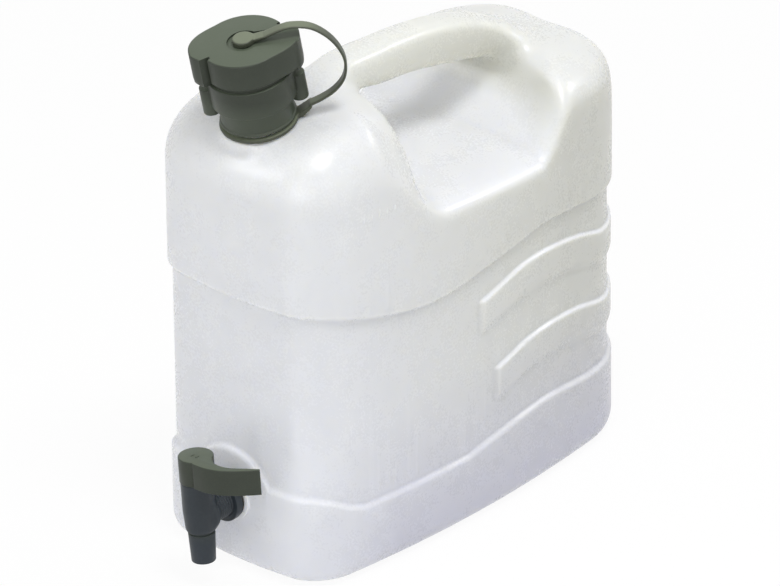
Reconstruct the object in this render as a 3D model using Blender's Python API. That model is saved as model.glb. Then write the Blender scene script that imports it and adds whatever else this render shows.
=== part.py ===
"""A ten-litre camping water can with a screw cap on a strap and a drain tap.

Metres, +Z up. The can stands on z = 0 with the middle of its plan at the origin. Its length runs along Y,
with the neck and the tap at -Y, and its width along X.
"""

import math

import bmesh
import bpy
import numpy as np
from mathutils import Matrix

GAP = 0.0003  # left between pieces that touch
PAST = 0.010  # how far a cutter runs past the face it opens
SINK = 0.002  # how far a joined shape runs into the one that carries it
SMALL_EDGE = 0.0007  # bevel on the small moulded edges

# Can body
BODY_LENGTH = 0.300
HALF_LENGTH = BODY_LENGTH / 2
FRONT_Y = -HALF_LENGTH
REAR_Y = HALF_LENGTH
BODY_WIDTH = 0.1522
FRONT_CORNER_RADIUS = 0.0253
REAR_CORNER_RADIUS = 0.0395
END_BOW = 0.0072
SIDE_BOW = 0.0118
BAND_OUTSET = 0.003
BASE_FILLET = 0.0129
WALL = 0.0022
STEP_HEIGHT = 0.005
RIB_OUT = 0.0025
RIB_HEIGHT = 0.0215
RIB_TOP_STEP = 0.0035
RIB_FOOT_STEP = 0.012
RIB_END = 0.005

# Wavy lines round the can, as (share of the half length, z): the top band's lower border, the bottom band's
# top and the ribs' tops
SEAM_LINE = ((-1.02, 0.186), (-0.9, 0.184), (-0.6667, 0.1746), (-0.3333, 0.167), (0.0, 0.173),
             (0.3333, 0.180), (0.6667, 0.176), (1.02, 0.173))
LOW_LINE = ((-1.02, 0.0624), (-0.9, 0.0595), (-0.7867, 0.0515), (-0.6667, 0.0462), (-0.3333, 0.0435),
            (0.0, 0.052), (0.3333, 0.058), (0.6667, 0.0545), (1.02, 0.056))
UPPER_RIB_LINE = ((-1.02, 0.150), (-0.06, 0.150), (0.2267, 0.1605), (0.5533, 0.157), (0.78, 0.148),
                  (1.02, 0.148))
LOWER_RIB_LINE = ((-1.02, 0.112), (-0.3333, 0.100), (0.0333, 0.0988), (0.2267, 0.1064), (0.5533, 0.1068),
                  (0.7867, 0.0996), (1.02, 0.0996))
UPPER_RIB_START = FRONT_Y + 0.141
LOWER_RIB_START = FRONT_Y + 0.155
TAP_ARCH_RADIUS = 0.033

# Top of the can: the sloping shoulder round the neck, the hand recess and the block behind it
NECK_TILT = math.radians(12.5)
NECK_Y = FRONT_Y + 0.0291
NECK_Z = 0.2919
SHOULDER_EDGE = 0.257
SHOULDER_FILLET = 0.030
SHOULDER_PEAK_Y = FRONT_Y + 0.065
SHOULDER_DROP = 0.0085
SHOULDER_CROWN = 0.050
SHOULDER_CROWN_START = FRONT_Y + 0.038
# Places on the side and on the spine, behind the front, that the rings' points run to
SHOULDER_SIDE = ((0.042, 0.058), (0.052, 0.067), (0.060, 0.077))
FRONT_SPINE = FRONT_Y + 0.052
RECESS_WALL_Y = FRONT_Y + 0.103
RECESS_WALL_RADIUS = 0.012
RECESS_WALL_DRAFT = 0.003
RECESS_FLARE_START = FRONT_Y + 0.064
RECESS_FLARE_END = FRONT_Y + 0.113
FLOOR_Z = 0.2320
FLOOR_FALL = 0.052
FLOOR_CROWN = 0.0055
FLOOR_LIP_FILLET = 0.009
SCOOP_START = REAR_Y - 0.100
SCOOP_LENGTH = 0.056
SCOOP_RISE = 0.040
SCOOP_ANGLE = math.radians(75)
SCOOP_LIP = 0.010
SCOOP_SIDE_START = REAR_Y - 0.092
SCOOP_SIDE_END = REAR_Y - 0.060
REAR_TOP = 0.2672
REAR_EDGE = 0.2435
REAR_EDGE_START = REAR_Y - 0.100
REAR_EDGE_END = REAR_Y - 0.050
REAR_FILLET = 0.031
REAR_LIP_Y = REAR_Y - 0.051
REAR_SPINE = REAR_Y - 0.0345

# Handle: z of its top and its underside and its half width, each with its share of the half length
HANDLE_TOP = ((-0.7333, 0.2915), (-0.6333, 0.2960), (-0.5333, 0.3018), (-0.4, 0.3075), (-0.1333, 0.3075),
              (0.1333, 0.3040), (0.2933, 0.2995), (0.54, 0.2865), (0.6933, 0.2730), (0.8, 0.2600))
HANDLE_UNDERSIDE = ((-0.7333, 0.270), (-0.4, 0.2825), (-0.3067, 0.2835), (-0.1333, 0.2795), (0.0, 0.2775),
                    (0.26, 0.270), (0.5033, 0.261), (0.6667, 0.248), (0.8, 0.236))
HANDLE_HALF_WIDTH = ((-0.7333, 0.030), (-0.6333, 0.026), (-0.5333, 0.0195), (-0.4, 0.0150), (-0.2, 0.0140),
                     (0.3333, 0.0140), (0.54, 0.0165), (0.6933, 0.0235), (0.8, 0.0320))
HANDLE_SECTIONS = 16
HANDLE_ROUNDING = 2.8

# Neck, cap and strap, in heights above the seat of the strap's ring along the tilted neck
NECK_RADIUS = 0.0199
NECK_BORE = 0.0172
NECK_HEIGHT = 0.0337
NECK_PAD_RADIUS = 0.0252
NECK_PAD_RISE = 0.0005
NECK_ROOT = 0.014
RING_RADIUS = 0.0242
RING_THICKNESS = 0.0023
CAP_BORE = 0.0212
CAP_SKIRT_RADIUS = 0.0225
CAP_RIM_FLARE = 0.0008
CAP_FOOT = 0.0032
COLLAR_RADIUS = 0.0280
COLLAR_FOOT = 0.0195
COLLAR_TOP = 0.0380
SLOT_RADIUS = 0.0245
DRUM_RADIUS = 0.0260
DRUM_FOOT = 0.0415
CAP_TOP = 0.0590
CAP_EDGE = 0.0012
WING_REACH = 0.0070
WING_START = math.radians(-12)
WING_FULL = math.radians(42)
WING_END = math.radians(70)
WING_ROUNDING = math.radians(12)
WING_FACE = math.radians(0.6)
WING_SKIRT_START = math.radians(8)
WING_NOTCH = math.radians(75)
WING_NOTCH_DEPTH = 0.0022
WING_FOOT = 0.0330
POST_RADIUS = 0.0039
POST_OFFSET = 0.0285
POST_ANGLE = math.radians(62)
POST_FOOT = 0.0120
POST_TOP = 0.0316
POST_TIP = 0.0012
GASKET_THICKNESS = 0.0020
GASKET_HOLE = 0.0140
SEAT_WALL = 0.0035
CAP_HOLLOW_RADIUS = 0.0222
CAP_ROOF = 0.0038
POCKET_DEPTH = 0.0013
POCKET_RADIUS = 0.0102
POCKET_GROOVE = 0.0153
EYELET_RADIUS = 0.0078
EYELET_THICKNESS = 0.0032
STUD_RADIUS = 0.0030
STUD_HEAD = 0.0013
STRAP_ANGLE = math.radians(44)
STRAP_WIDTH = 0.0058
STRAP_THICKNESS = 0.0018
STRAP_ROUTE = ((0.0130, 0.0612), (0.0292, 0.0650), (0.0406, 0.0622), (0.0485, 0.0554), (0.0543, 0.0461),
               (0.0572, 0.0340), (0.0545, 0.0220), (0.0470, 0.0138), (0.0390, 0.0095), (0.0315, 0.0068))
RING_TAB_WIDTH = 0.0085

# Drain tap: heights from the floor, and places along the horizontal threaded stub
TAP_Z = 0.048
TAP_LEAN = math.radians(-4)
PORT_BOSS_RADIUS = 0.0165
PORT_BORE = 0.0104
PORT_FACE_Y = FRONT_Y - 0.0042
PORT_INNER_Y = PORT_FACE_Y + 0.0122
TAP_Y = PORT_FACE_Y - 0.0258
TAP_GASKET_THICKNESS = 0.0015
TAP_GASKET_RADIUS = 0.0150
LOCK_NUT_RADIUS = 0.0163
LOCK_NUT_THICKNESS = 0.0050
STUB_RADIUS = 0.0100
STUB_END_Y = PORT_INNER_Y + 0.0040
STUB_BORE = 0.0055
TAP_BOSS_RADIUS = 0.0138
TAP_BOSS_FRONT = 0.0035
TAP_BOSS_REAR = 0.0100
BARREL_RADIUS = 0.0110
BARREL_FOOT_RADIUS = 0.0098
BARREL_TAPER = 0.014
BARREL_TOP = 0.0698
BARREL_FOOT = 0.0310
PLUG_TOP_RADIUS = 0.0085
PLUG_FOOT_RADIUS = 0.0080
SPOUT_TOP_RADIUS = 0.0084
SPOUT_FOOT_RADIUS = 0.0075
SPOUT_FOOT = 0.0160
SPOUT_NECK = 0.0015
SPOUT_BORE = 0.0055
SPOUT_BORE_TOP = 0.0560
PLUG_PORT_RADIUS = 0.0050
LEVER_TOP = 0.0870
LEVER_FOOT = BARREL_TOP + GAP
LEVER_HEAD_RADIUS = 0.0112
LEVER_EDGE = 0.0008
# Plan of the lever's blade from the tap's axis: its rear edge outwards, then its front edge back
LEVER_BLADE = ((0.0113, 0.0026), (0.0170, 0.0022), (0.0234, 0.0036), (0.0312, 0.0080), (0.0390, 0.0142),
               (0.0402, 0.0128), (0.0345, 0.0055), (0.0283, -0.0014), (0.0220, -0.0054), (0.0133, -0.0086),
               (0.0050, -0.0106))

ROUND_STEPS = 32
CAP_STEPS = 40


def clear_scene():
    for obj in list(bpy.data.objects):
        bpy.data.objects.remove(obj, do_unlink=True)


def plastic(name, color, roughness):
    material = bpy.data.materials.new(name)
    material.use_nodes = True
    shader = material.node_tree.nodes["Principled BSDF"]
    shader.inputs["Base Color"].default_value = (*color, 1)
    shader.inputs["Roughness"].default_value = roughness
    shader.inputs["Metallic"].default_value = 0
    material.diffuse_color = (*color, 1)
    return material


def empty(name, matrix, parent=None):
    holder = bpy.data.objects.new(name, None)
    bpy.context.scene.collection.objects.link(holder)
    holder.parent = parent
    holder.matrix_local = matrix
    return holder


def add(name, bm, material=None, parent=None):
    bmesh.ops.recalc_face_normals(bm, faces=bm.faces)
    mesh = bpy.data.meshes.new(name)
    bm.to_mesh(mesh)
    bm.free()
    obj = bpy.data.objects.new(name, mesh)
    bpy.context.scene.collection.objects.link(obj)
    obj.parent = parent
    if material:
        mesh.materials.append(material)
    mesh.shade_smooth()
    mesh.set_sharp_from_angle(angle=math.radians(35))
    return obj


def combine(obj, other, operation):
    """Joins the other solid to obj or cuts it out, and hides it as a helper."""
    modifier = obj.modifiers.new(other.name, "BOOLEAN")
    modifier.object = other
    modifier.operation = operation
    modifier.solver = "EXACT"
    other.hide_render = True
    other.display_type = "WIRE"


def loft(rings, tube=False):
    """A mesh through equal rings of points; a tube's last ring joins its first."""
    bm = bmesh.new()
    loops = [[bm.verts.new(point) for point in ring] for ring in rings]
    pairs = list(zip(loops, loops[1:]))
    if tube:
        pairs.append((loops[-1], loops[0]))
    for low, high in pairs:
        count = len(low)
        for i in range(count):
            j = (i + 1) % count
            bm.faces.new((low[i], low[j], high[j], high[i]))
    if not tube:
        bm.faces.new(loops[0][::-1])
        bm.faces.new(loops[-1])
    return bm


def turned(profile, steps=ROUND_STEPS, tube=False):
    """A solid turned about Z from (radius, height) pairs going up its side; a tube's profile is closed."""
    angles = [math.tau * i / steps for i in range(steps)]
    rings = [[(radius * math.cos(a), radius * math.sin(a), height) for a in angles]
             for radius, height in profile]
    return loft(rings, tube)


def cylinder(radius, low, high, steps=ROUND_STEPS):
    return turned(((radius, low), (radius, high)), steps)


def extruded(outline, low, high):
    return loft([[(x, y, z) for x, y in outline] for z in (low, high)])


def moved(bm, matrix):
    bmesh.ops.transform(bm, matrix=matrix, verts=bm.verts)
    return bm


def along_stub(bm):
    """Turns a piece made about Z to lie along the tap's stub, with heights read as places along Y."""
    return moved(bm, Matrix.Rotation(-math.pi / 2, 4, "X"))


def smooth_line(knots, at):
    """A smooth curve through (position, value) knots, flat beyond the ends."""
    places = np.array([k[0] for k in knots])
    values = np.array([k[1] for k in knots])
    slopes = np.gradient(values, places)
    at = np.clip(np.asarray(at, float), places[0], places[-1])
    i = np.clip(np.searchsorted(places, at, side="right") - 1, 0, len(places) - 2)
    span = places[i + 1] - places[i]
    t = (at - places[i]) / span
    rest = 1 - t
    return (values[i] * (1 + 2 * t) * rest**2 + values[i + 1] * t**2 * (3 - 2 * t)
            + span * t * rest * (slopes[i] * rest - slopes[i + 1] * t))


def eased(value, start, end):
    t = np.clip((value - start) / (end - start), 0, 1)
    return t * t * (3 - 2 * t)


FRONT_FLAT = BODY_WIDTH / 2 - FRONT_CORNER_RADIUS
FRONT_ARC = FRONT_CORNER_RADIUS * math.pi / 2
SIDE_FLAT = BODY_LENGTH - FRONT_CORNER_RADIUS - REAR_CORNER_RADIUS
REAR_ARC = REAR_CORNER_RADIUS * math.pi / 2
REAR_FLAT = BODY_WIDTH / 2 - REAR_CORNER_RADIUS
SIDE_SHRINK = 1 - 2 * END_BOW / BODY_LENGTH
SIDE_START = FRONT_FLAT + FRONT_ARC
SIDE_END = SIDE_START + SIDE_FLAT
REAR_START = SIDE_END + REAR_ARC


def side_place(y):
    """The length along the outline at which the bowed side passes y."""
    return SIDE_START + y / SIDE_SHRINK - FRONT_Y - FRONT_CORNER_RADIUS


def outline_points(lengths):
    """Points of the bowed outline on the +X side, by length from the middle of the front face."""
    s = np.asarray(lengths, float)
    half_width = BODY_WIDTH / 2
    front_turn = (s - FRONT_FLAT) / FRONT_CORNER_RADIUS
    rear_turn = (s - SIDE_END) / REAR_CORNER_RADIUS
    zones = [s < FRONT_FLAT, s < SIDE_START, s < SIDE_END, s < REAR_START]
    x = np.select(zones, [s, FRONT_FLAT + FRONT_CORNER_RADIUS * np.sin(front_turn), half_width + 0 * s,
                          REAR_FLAT + REAR_CORNER_RADIUS * np.cos(rear_turn)],
                  REAR_FLAT - (s - REAR_START))
    y = np.select(zones, [FRONT_Y + 0 * s,
                          FRONT_Y + FRONT_CORNER_RADIUS * (1 - np.cos(front_turn)),
                          FRONT_Y + FRONT_CORNER_RADIUS + s - SIDE_START,
                          REAR_Y - REAR_CORNER_RADIUS * (1 - np.sin(rear_turn))],
                  REAR_Y + 0 * s)
    return np.stack([x * (1 - 2 * SIDE_BOW / BODY_WIDTH * (2 * y / BODY_LENGTH) ** 2),
                     y * (1 - 2 * END_BOW / BODY_LENGTH * (2 * x / BODY_WIDTH) ** 2)], axis=1)


def outline_normals(lengths, step=1e-5):
    along = outline_points(np.asarray(lengths) + step) - outline_points(np.asarray(lengths) - step)
    normals = np.stack([-along[:, 1], along[:, 0]], axis=1) * -1
    return normals / np.linalg.norm(normals, axis=1)[:, None]


def recess_profile(steps):
    """Spine places down the recess's front wall, round the arcs at its top and its foot."""
    turns = np.linspace(0, math.pi / 2, steps + 1)
    radius = RECESS_WALL_RADIUS
    upper = [RECESS_WALL_Y - radius * (1 - math.sin(a)) for a in turns]
    lower = [RECESS_WALL_Y + RECESS_WALL_DRAFT + radius * (1 - math.cos(a)) for a in turns]
    return upper + lower


def scoop_rise(c):
    """Share of the climb from the recess floor to the rear block's top at spine place c."""
    joint = SCOOP_START + SCOOP_LENGTH * math.sin(SCOOP_ANGLE)
    steepest = math.atan(SCOOP_RISE * math.tan(SCOOP_ANGLE) / SCOOP_LENGTH)
    below = SCOOP_RISE * (1 - math.cos(SCOOP_ANGLE))
    total = below + SCOOP_LIP * (1 - math.cos(steepest))
    inside = np.clip((c - SCOOP_START) / SCOOP_LENGTH, 0, math.sin(SCOOP_ANGLE))
    lip = np.clip(math.sin(steepest) - (c - joint) / SCOOP_LIP, 0, math.sin(steepest))
    rise = np.where(c < joint, SCOOP_RISE * (1 - np.sqrt(1 - inside**2)),
                    below + SCOOP_LIP * (np.sqrt(1 - lip**2) - math.cos(steepest)))
    return rise / total


def shoulder_height(x, y):
    """Top of the front block, square to the neck as far as the peak and then falling to the recess."""
    slope = math.tan(NECK_TILT)
    seat = NECK_Z - (GAP + NECK_PAD_RISE) / math.cos(NECK_TILT)
    level = seat + slope * (np.minimum(y, SHOULDER_PEAK_Y) - NECK_Y)
    fall = SHOULDER_DROP * eased(y, SHOULDER_PEAK_Y, RECESS_WALL_Y - RECESS_WALL_RADIUS)
    crown = SHOULDER_CROWN * eased(y, SHOULDER_CROWN_START, RECESS_WALL_Y - RECESS_WALL_RADIUS)
    half_width = BODY_WIDTH / 2 + BAND_OUTSET
    return level - fall - crown * (1 - np.sqrt(1 - np.clip(x / half_width, -1, 1) ** 2))


def top_height(c, x, y):
    """Top surface where a ray from the rim to spine place c passes (x, y)."""
    near_wall = eased(c, SHOULDER_PEAK_Y, RECESS_WALL_Y - RECESS_WALL_RADIUS)
    shoulder = shoulder_height(x, y * (1 - near_wall) + c * near_wall)
    floor = FLOOR_Z - FLOOR_FALL * (c - RECESS_WALL_Y) - FLOOR_CROWN * (2 * x / BODY_WIDTH) ** 2
    radius = RECESS_WALL_RADIUS
    past = np.clip(c - RECESS_WALL_Y + radius, 0, radius)
    before = np.clip(RECESS_WALL_Y + RECESS_WALL_DRAFT + radius - c, 0, radius)
    upper = shoulder - radius + np.sqrt(radius**2 - past**2)
    lower = floor + radius - np.sqrt(radius**2 - before**2)
    share = np.clip((c - RECESS_WALL_Y) / RECESS_WALL_DRAFT, 0, 1)
    front = np.where(share <= 0, upper, np.where(share >= 1, lower, upper * (1 - share) + lower * share))
    return front + (REAR_TOP - floor) * np.where(c > SCOOP_START, scoop_rise(c), 0)


def stations(fine):
    """Where the body's rings have their points: length along the outline, spine place and bend."""
    many = 2 if fine else 1
    wall = recess_profile(3 if fine else 2)
    flared = np.linspace(RECESS_FLARE_START, RECESS_FLARE_END, len(wall))
    turns = np.linspace(0, 1, 7 if fine else 6) * SCOOP_ANGLE
    scoop = SCOOP_START + SCOOP_LENGTH * np.sin(turns)
    scoop_sides = np.linspace(SCOOP_SIDE_START, SCOOP_SIDE_END, len(turns))
    ribs = [start + side * RIB_END / 2 for start in (UPPER_RIB_START, LOWER_RIB_START) for side in (-1, 1)]
    level = (RECESS_FLARE_END, SCOOP_SIDE_START)
    sides = sorted([*np.linspace(*level, 5)[1:-1]] + (ribs if fine else []))
    front = [(s, FRONT_SPINE, 1) for s in np.linspace(0, FRONT_FLAT, 4 * many + 1)]
    corner = [(FRONT_FLAT + FRONT_ARC * t, FRONT_SPINE, 1) for t in np.linspace(0, 1, 2 * many + 2)[1:]]
    block = [(side_place(FRONT_Y + y), FRONT_Y + c, 1) for y, c in SHOULDER_SIDE]
    recess = [(side_place(y), c, 3) for y, c in zip(flared, wall)]
    floor = [(side_place(y), np.interp(y, level, (wall[-1], SCOOP_START)), 1) for y in sides]
    rear = [(side_place(y), c, 2) for y, c in zip(scoop_sides, scoop)]
    lip = [(side_place(REAR_LIP_Y), (scoop[-1] + REAR_SPINE) / 2, 1), (SIDE_END, REAR_SPINE, 1)]
    back = [(SIDE_END + REAR_ARC * t, REAR_SPINE, 1) for t in np.linspace(0, 1, 2 * many + 2)[1:]]
    end = [(REAR_START + REAR_FLAT * t, REAR_SPINE, 1) for t in np.linspace(0, 1, 2 * many + 1)[1:]]
    return np.array(front + corner + block + recess + floor + rear + lip + back + end)


def low_line(x, y):
    """Top of the bottom band, which rises in an arch over the tap."""
    arch = np.sqrt(np.clip(TAP_ARCH_RADIUS**2 - x**2, 0, None)) + TAP_Z
    line = smooth_line(LOW_LINE, y / HALF_LENGTH)
    return np.where(y < 0, np.maximum(line, arch), line)


def body_rows(fine):
    """Rings of the can's outer skin on the +X side, from the base to the spine of its top."""
    lengths, spine, bend = stations(fine).T
    plan = outline_points(lengths)
    normals = outline_normals(lengths)
    x, y = plan.T
    rows = []

    def ring(offset, height):
        points = plan + normals * np.reshape(offset, (-1, 1))
        rows.append(np.column_stack([points, height + 0 * x]))

    for turn in np.linspace(0, math.pi / 2, 5 if fine else 3):
        ring(BAND_OUTSET - BASE_FILLET * (1 - math.sin(turn)), BASE_FILLET * (1 - math.cos(turn)))
    edge_steps = ((-0.5, 1), (-0.18, 0.86), (0.18, 0.14), (0.5, 0)) if fine else ((-0.5, 1), (0.5, 0))
    for place, share in edge_steps:
        ring(BAND_OUTSET * share, low_line(x, y) + place * STEP_HEIGHT)
    if fine:
        for line, start in ((LOWER_RIB_LINE, LOWER_RIB_START), (UPPER_RIB_LINE, UPPER_RIB_START)):
            present = eased(y, start - RIB_END / 2, start + RIB_END / 2)
            top = smooth_line(line, y / HALF_LENGTH)
            foot = top - RIB_HEIGHT
            ring(0, foot - RIB_FOOT_STEP / 2 * present)
            ring(RIB_OUT * present, foot + RIB_FOOT_STEP / 2 * present)
            ring(RIB_OUT * present, top - RIB_TOP_STEP / 2 * present)
            ring(0, top + RIB_TOP_STEP / 2 * present)
    for place, share in edge_steps[::-1]:
        ring(BAND_OUTSET * share, smooth_line(SEAM_LINE, y / HALF_LENGTH) - place * STEP_HEIGHT)

    behind = eased(y, REAR_EDGE_START, REAR_EDGE_END)
    in_recess = eased(y, RECESS_FLARE_START, RECESS_FLARE_END) * (1 - behind)
    before = 1 - in_recess - behind
    lip_edge = FLOOR_Z - FLOOR_CROWN - FLOOR_FALL * (y - RECESS_WALL_Y) - FLOOR_LIP_FILLET
    edge = SHOULDER_EDGE * before + lip_edge * in_recess + REAR_EDGE * behind
    fillet = SHOULDER_FILLET * before + FLOOR_LIP_FILLET * in_recess + REAR_FILLET * behind
    rim = plan + normals * BAND_OUTSET
    centre = np.column_stack([0 * spine, spine])
    reach = np.linalg.norm(rim - centre, axis=1)

    def top_ring(inset, rise):
        left = 1 - inset / reach
        px = rim[:, 0] * left
        py = spine + (rim[:, 1] - spine) * left**bend
        rows.append(np.column_stack([px, py, edge + (top_height(spine, px, py) - edge) * rise]))

    turns = np.linspace(0, math.pi / 2, 6 if fine else 4)
    for turn in turns:
        top_ring(fillet * (1 - math.cos(turn)), math.sin(turn))
    for share in np.linspace(0, 1, 5 if fine else 4)[1:]:
        top_ring(fillet + (reach - fillet) * share, 1)
    return rows


def body_mesh(fine):
    """The can's skin, with points that fall together made one."""
    bm = bmesh.new()
    known = {}

    def vertex(point):
        key = tuple(int(round(v * 1e6)) for v in point)
        if key not in known:
            known[key] = bm.verts.new(point)
        return known[key]

    loops = []
    for row in body_rows(fine):
        mirrored = row[-2:0:-1] * (-1, 1, 1)
        loops.append([vertex(point) for point in np.concatenate([row, mirrored])])
    for low, high in zip(loops, loops[1:]):
        for i in range(len(low)):
            j = (i + 1) % len(low)
            corners = list(dict.fromkeys((low[i], low[j], high[j], high[i])))
            if len(corners) > 2 and not bm.faces.get(corners):
                bm.faces.new(corners)
    bm.faces.new(loops[0])
    bmesh.ops.recalc_face_normals(bm, faces=bm.faces)
    return bm


def handle_mesh(inset):
    """The handle as a loft of rounded sections along Y, smaller by the inset."""
    ends = HANDLE_TOP[0][0] * HALF_LENGTH + inset, HANDLE_TOP[-1][0] * HALF_LENGTH - inset
    turns = np.linspace(0, math.tau, 20, endpoint=False)
    power = 2 / HANDLE_ROUNDING
    across = np.sign(np.cos(turns)) * np.abs(np.cos(turns)) ** power
    upright = np.sign(np.sin(turns)) * np.abs(np.sin(turns)) ** power
    rings = []
    for y in np.linspace(*ends, HANDLE_SECTIONS):
        top, under, wide = [float(smooth_line(line, y / HALF_LENGTH))
                            for line in (HANDLE_TOP, HANDLE_UNDERSIDE, HANDLE_HALF_WIDTH)]
        half_width = wide - inset
        half_height = (top - under) / 2 - inset
        rings.append([(half_width * a, y, (top + under) / 2 + half_height * b)
                      for a, b in zip(across, upright)])
    return loft(rings)


def can_body(material, neck, port):
    body = add("canister", body_mesh(True), material)
    combine(body, add("handle_outside", handle_mesh(0)), "UNION")
    pad = ((NECK_PAD_RADIUS, -NECK_ROOT), (NECK_PAD_RADIUS, -GAP), (NECK_RADIUS, -GAP),
           (NECK_RADIUS, NECK_HEIGHT - SMALL_EDGE), (NECK_RADIUS - SMALL_EDGE, NECK_HEIGHT))
    combine(body, add("neck_outside", turned(pad), parent=neck), "UNION")
    hollow = body_mesh(False)
    hollow.normal_update()
    for vert in hollow.verts:
        vert.co -= vert.normal * WALL
    combine(body, add("hollow", hollow), "DIFFERENCE")
    combine(body, add("handle_hollow", handle_mesh(WALL)), "DIFFERENCE")
    boss = cylinder(PORT_BOSS_RADIUS, PORT_FACE_Y, PORT_INNER_Y)
    combine(body, add("port_boss", along_stub(boss), parent=port), "UNION")
    bore = cylinder(NECK_BORE, -2 * NECK_ROOT, NECK_HEIGHT + PAST)
    combine(body, add("neck_bore", bore, parent=neck), "DIFFERENCE")
    hole = cylinder(PORT_BORE, PORT_FACE_Y - PAST, PORT_INNER_Y + PAST)
    combine(body, add("port_bore", along_stub(hole), parent=port), "DIFFERENCE")
    return body


def wing_reach(angle):
    """How far the cap's two finger wings stand out at an angle; they repeat each half turn."""
    turn = (angle - WING_START) % math.pi + WING_START
    rounding = 0.5 + 0.5 * eased(turn, WING_END + WING_ROUNDING / 4, WING_FULL + WING_ROUNDING)
    out = WING_REACH * float(eased(turn, WING_START, WING_FULL) * rounding)
    return out if turn < WING_END else 0.0


def polar(radius, angle):
    return radius * math.cos(angle), radius * math.sin(angle)


def drum_outline(inset):
    """Plan of the cap's grip: two wings that swell out and end in a notch."""
    points = []
    for half in (0, math.pi):
        swelling = np.linspace(WING_START, WING_END - WING_FACE, 16) + half
        points += [polar(DRUM_RADIUS + wing_reach(a) - inset, a) for a in swelling]
        notch = DRUM_RADIUS - WING_NOTCH_DEPTH - inset
        points += [polar(notch, half + WING_END + WING_FACE), polar(notch, half + WING_NOTCH)]
        plain = np.linspace(WING_NOTCH + 2 * WING_FACE, WING_START + math.pi, 8)[:-1] + half
        points += [polar(DRUM_RADIUS - inset, a) for a in plain]
    return points


def cap_body(material, turn):
    rim = CAP_SKIRT_RADIUS + CAP_RIM_FLARE
    profile = ((rim, CAP_FOOT), (rim, CAP_FOOT + CAP_RIM_FLARE),
               (CAP_SKIRT_RADIUS, CAP_FOOT + 2 * CAP_RIM_FLARE),
               (CAP_SKIRT_RADIUS, COLLAR_FOOT), (COLLAR_RADIUS - SMALL_EDGE, COLLAR_FOOT),
               (COLLAR_RADIUS, COLLAR_FOOT + SMALL_EDGE), (COLLAR_RADIUS, COLLAR_TOP - SMALL_EDGE),
               (COLLAR_RADIUS - SMALL_EDGE, COLLAR_TOP), (SLOT_RADIUS, COLLAR_TOP),
               (SLOT_RADIUS, DRUM_FOOT + SINK))
    cap = add("cap_body", turned(profile, CAP_STEPS), material, turn)
    edge = ((DRUM_FOOT, 0), (CAP_TOP - CAP_EDGE, 0), (CAP_TOP - 0.3 * CAP_EDGE, 0.3 * CAP_EDGE),
            (CAP_TOP, CAP_EDGE))
    drum = loft([[(x, y, height) for x, y in drum_outline(inset)] for height, inset in edge])
    combine(cap, add("cap_drum", drum, parent=turn), "UNION")
    for i in range(2):
        half = i * math.pi
        angles = np.linspace(WING_SKIRT_START, WING_END - WING_FACE, 12) + half
        outline = [polar(DRUM_RADIUS + wing_reach(a) - SMALL_EDGE / 3, a) for a in angles]
        outline += [polar(SLOT_RADIUS - SINK, a) for a in (angles[-1], angles[0])]
        wing = extruded(outline, WING_FOOT, DRUM_FOOT + SINK)
        combine(cap, add(f"wing_{i}", wing, parent=turn), "UNION")
        post = turned(((POST_RADIUS - POST_TIP, POST_FOOT), (POST_RADIUS, POST_FOOT + POST_TIP),
                       (POST_RADIUS, POST_TOP)), 20)
        place = Matrix.Translation((*polar(POST_OFFSET, POST_ANGLE + half), 0))
        combine(cap, add(f"post_{i}", moved(post, place), parent=turn), "UNION")
    ceiling = NECK_HEIGHT + GAP + GASKET_THICKNESS + GAP
    bore = turned(((CAP_BORE, CAP_FOOT - PAST), (CAP_BORE, ceiling), (GASKET_HOLE, ceiling),
                   (GASKET_HOLE, ceiling + SEAT_WALL), (CAP_HOLLOW_RADIUS, ceiling + SEAT_WALL),
                   (CAP_HOLLOW_RADIUS, CAP_TOP - CAP_ROOF - SINK),
                   (CAP_HOLLOW_RADIUS - SINK, CAP_TOP - CAP_ROOF)), CAP_STEPS)
    combine(cap, add("cap_bore", bore, parent=turn), "DIFFERENCE")
    floor = CAP_TOP - POCKET_DEPTH
    combine(cap, add("pocket", cylinder(POCKET_RADIUS, floor, CAP_TOP + PAST), parent=turn), "DIFFERENCE")
    half = POCKET_GROOVE / 2
    reach = COLLAR_RADIUS + WING_REACH + PAST
    groove = extruded(((0, -half), (reach, -half), (reach, half), (0, half)), floor, CAP_TOP + PAST)
    combine(cap, add("strap_groove", moved(groove, strap_frame()), parent=turn), "DIFFERENCE")
    head = floor + GAP + EYELET_THICKNESS + GAP
    stud = turned(((STUD_RADIUS, floor - SINK), (STUD_RADIUS, head), (STUD_RADIUS + STUD_HEAD, head),
                   (STUD_RADIUS + STUD_HEAD, head + STUD_HEAD / 2), (STUD_RADIUS, head + STUD_HEAD)), 24)
    combine(cap, add("stud", stud, parent=turn), "UNION")
    return cap


def cap_gasket(material, turn):
    low = NECK_HEIGHT + GAP
    outer = CAP_BORE - GAP
    profile = ((outer, low), (outer, low + GASKET_THICKNESS), (GASKET_HOLE, low + GASKET_THICKNESS),
               (GASKET_HOLE, low))
    return add("cap_gasket", turned(profile, tube=True), material, turn)


def strap_frame():
    return Matrix.Rotation(STRAP_ANGLE, 4, "Z")


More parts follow.
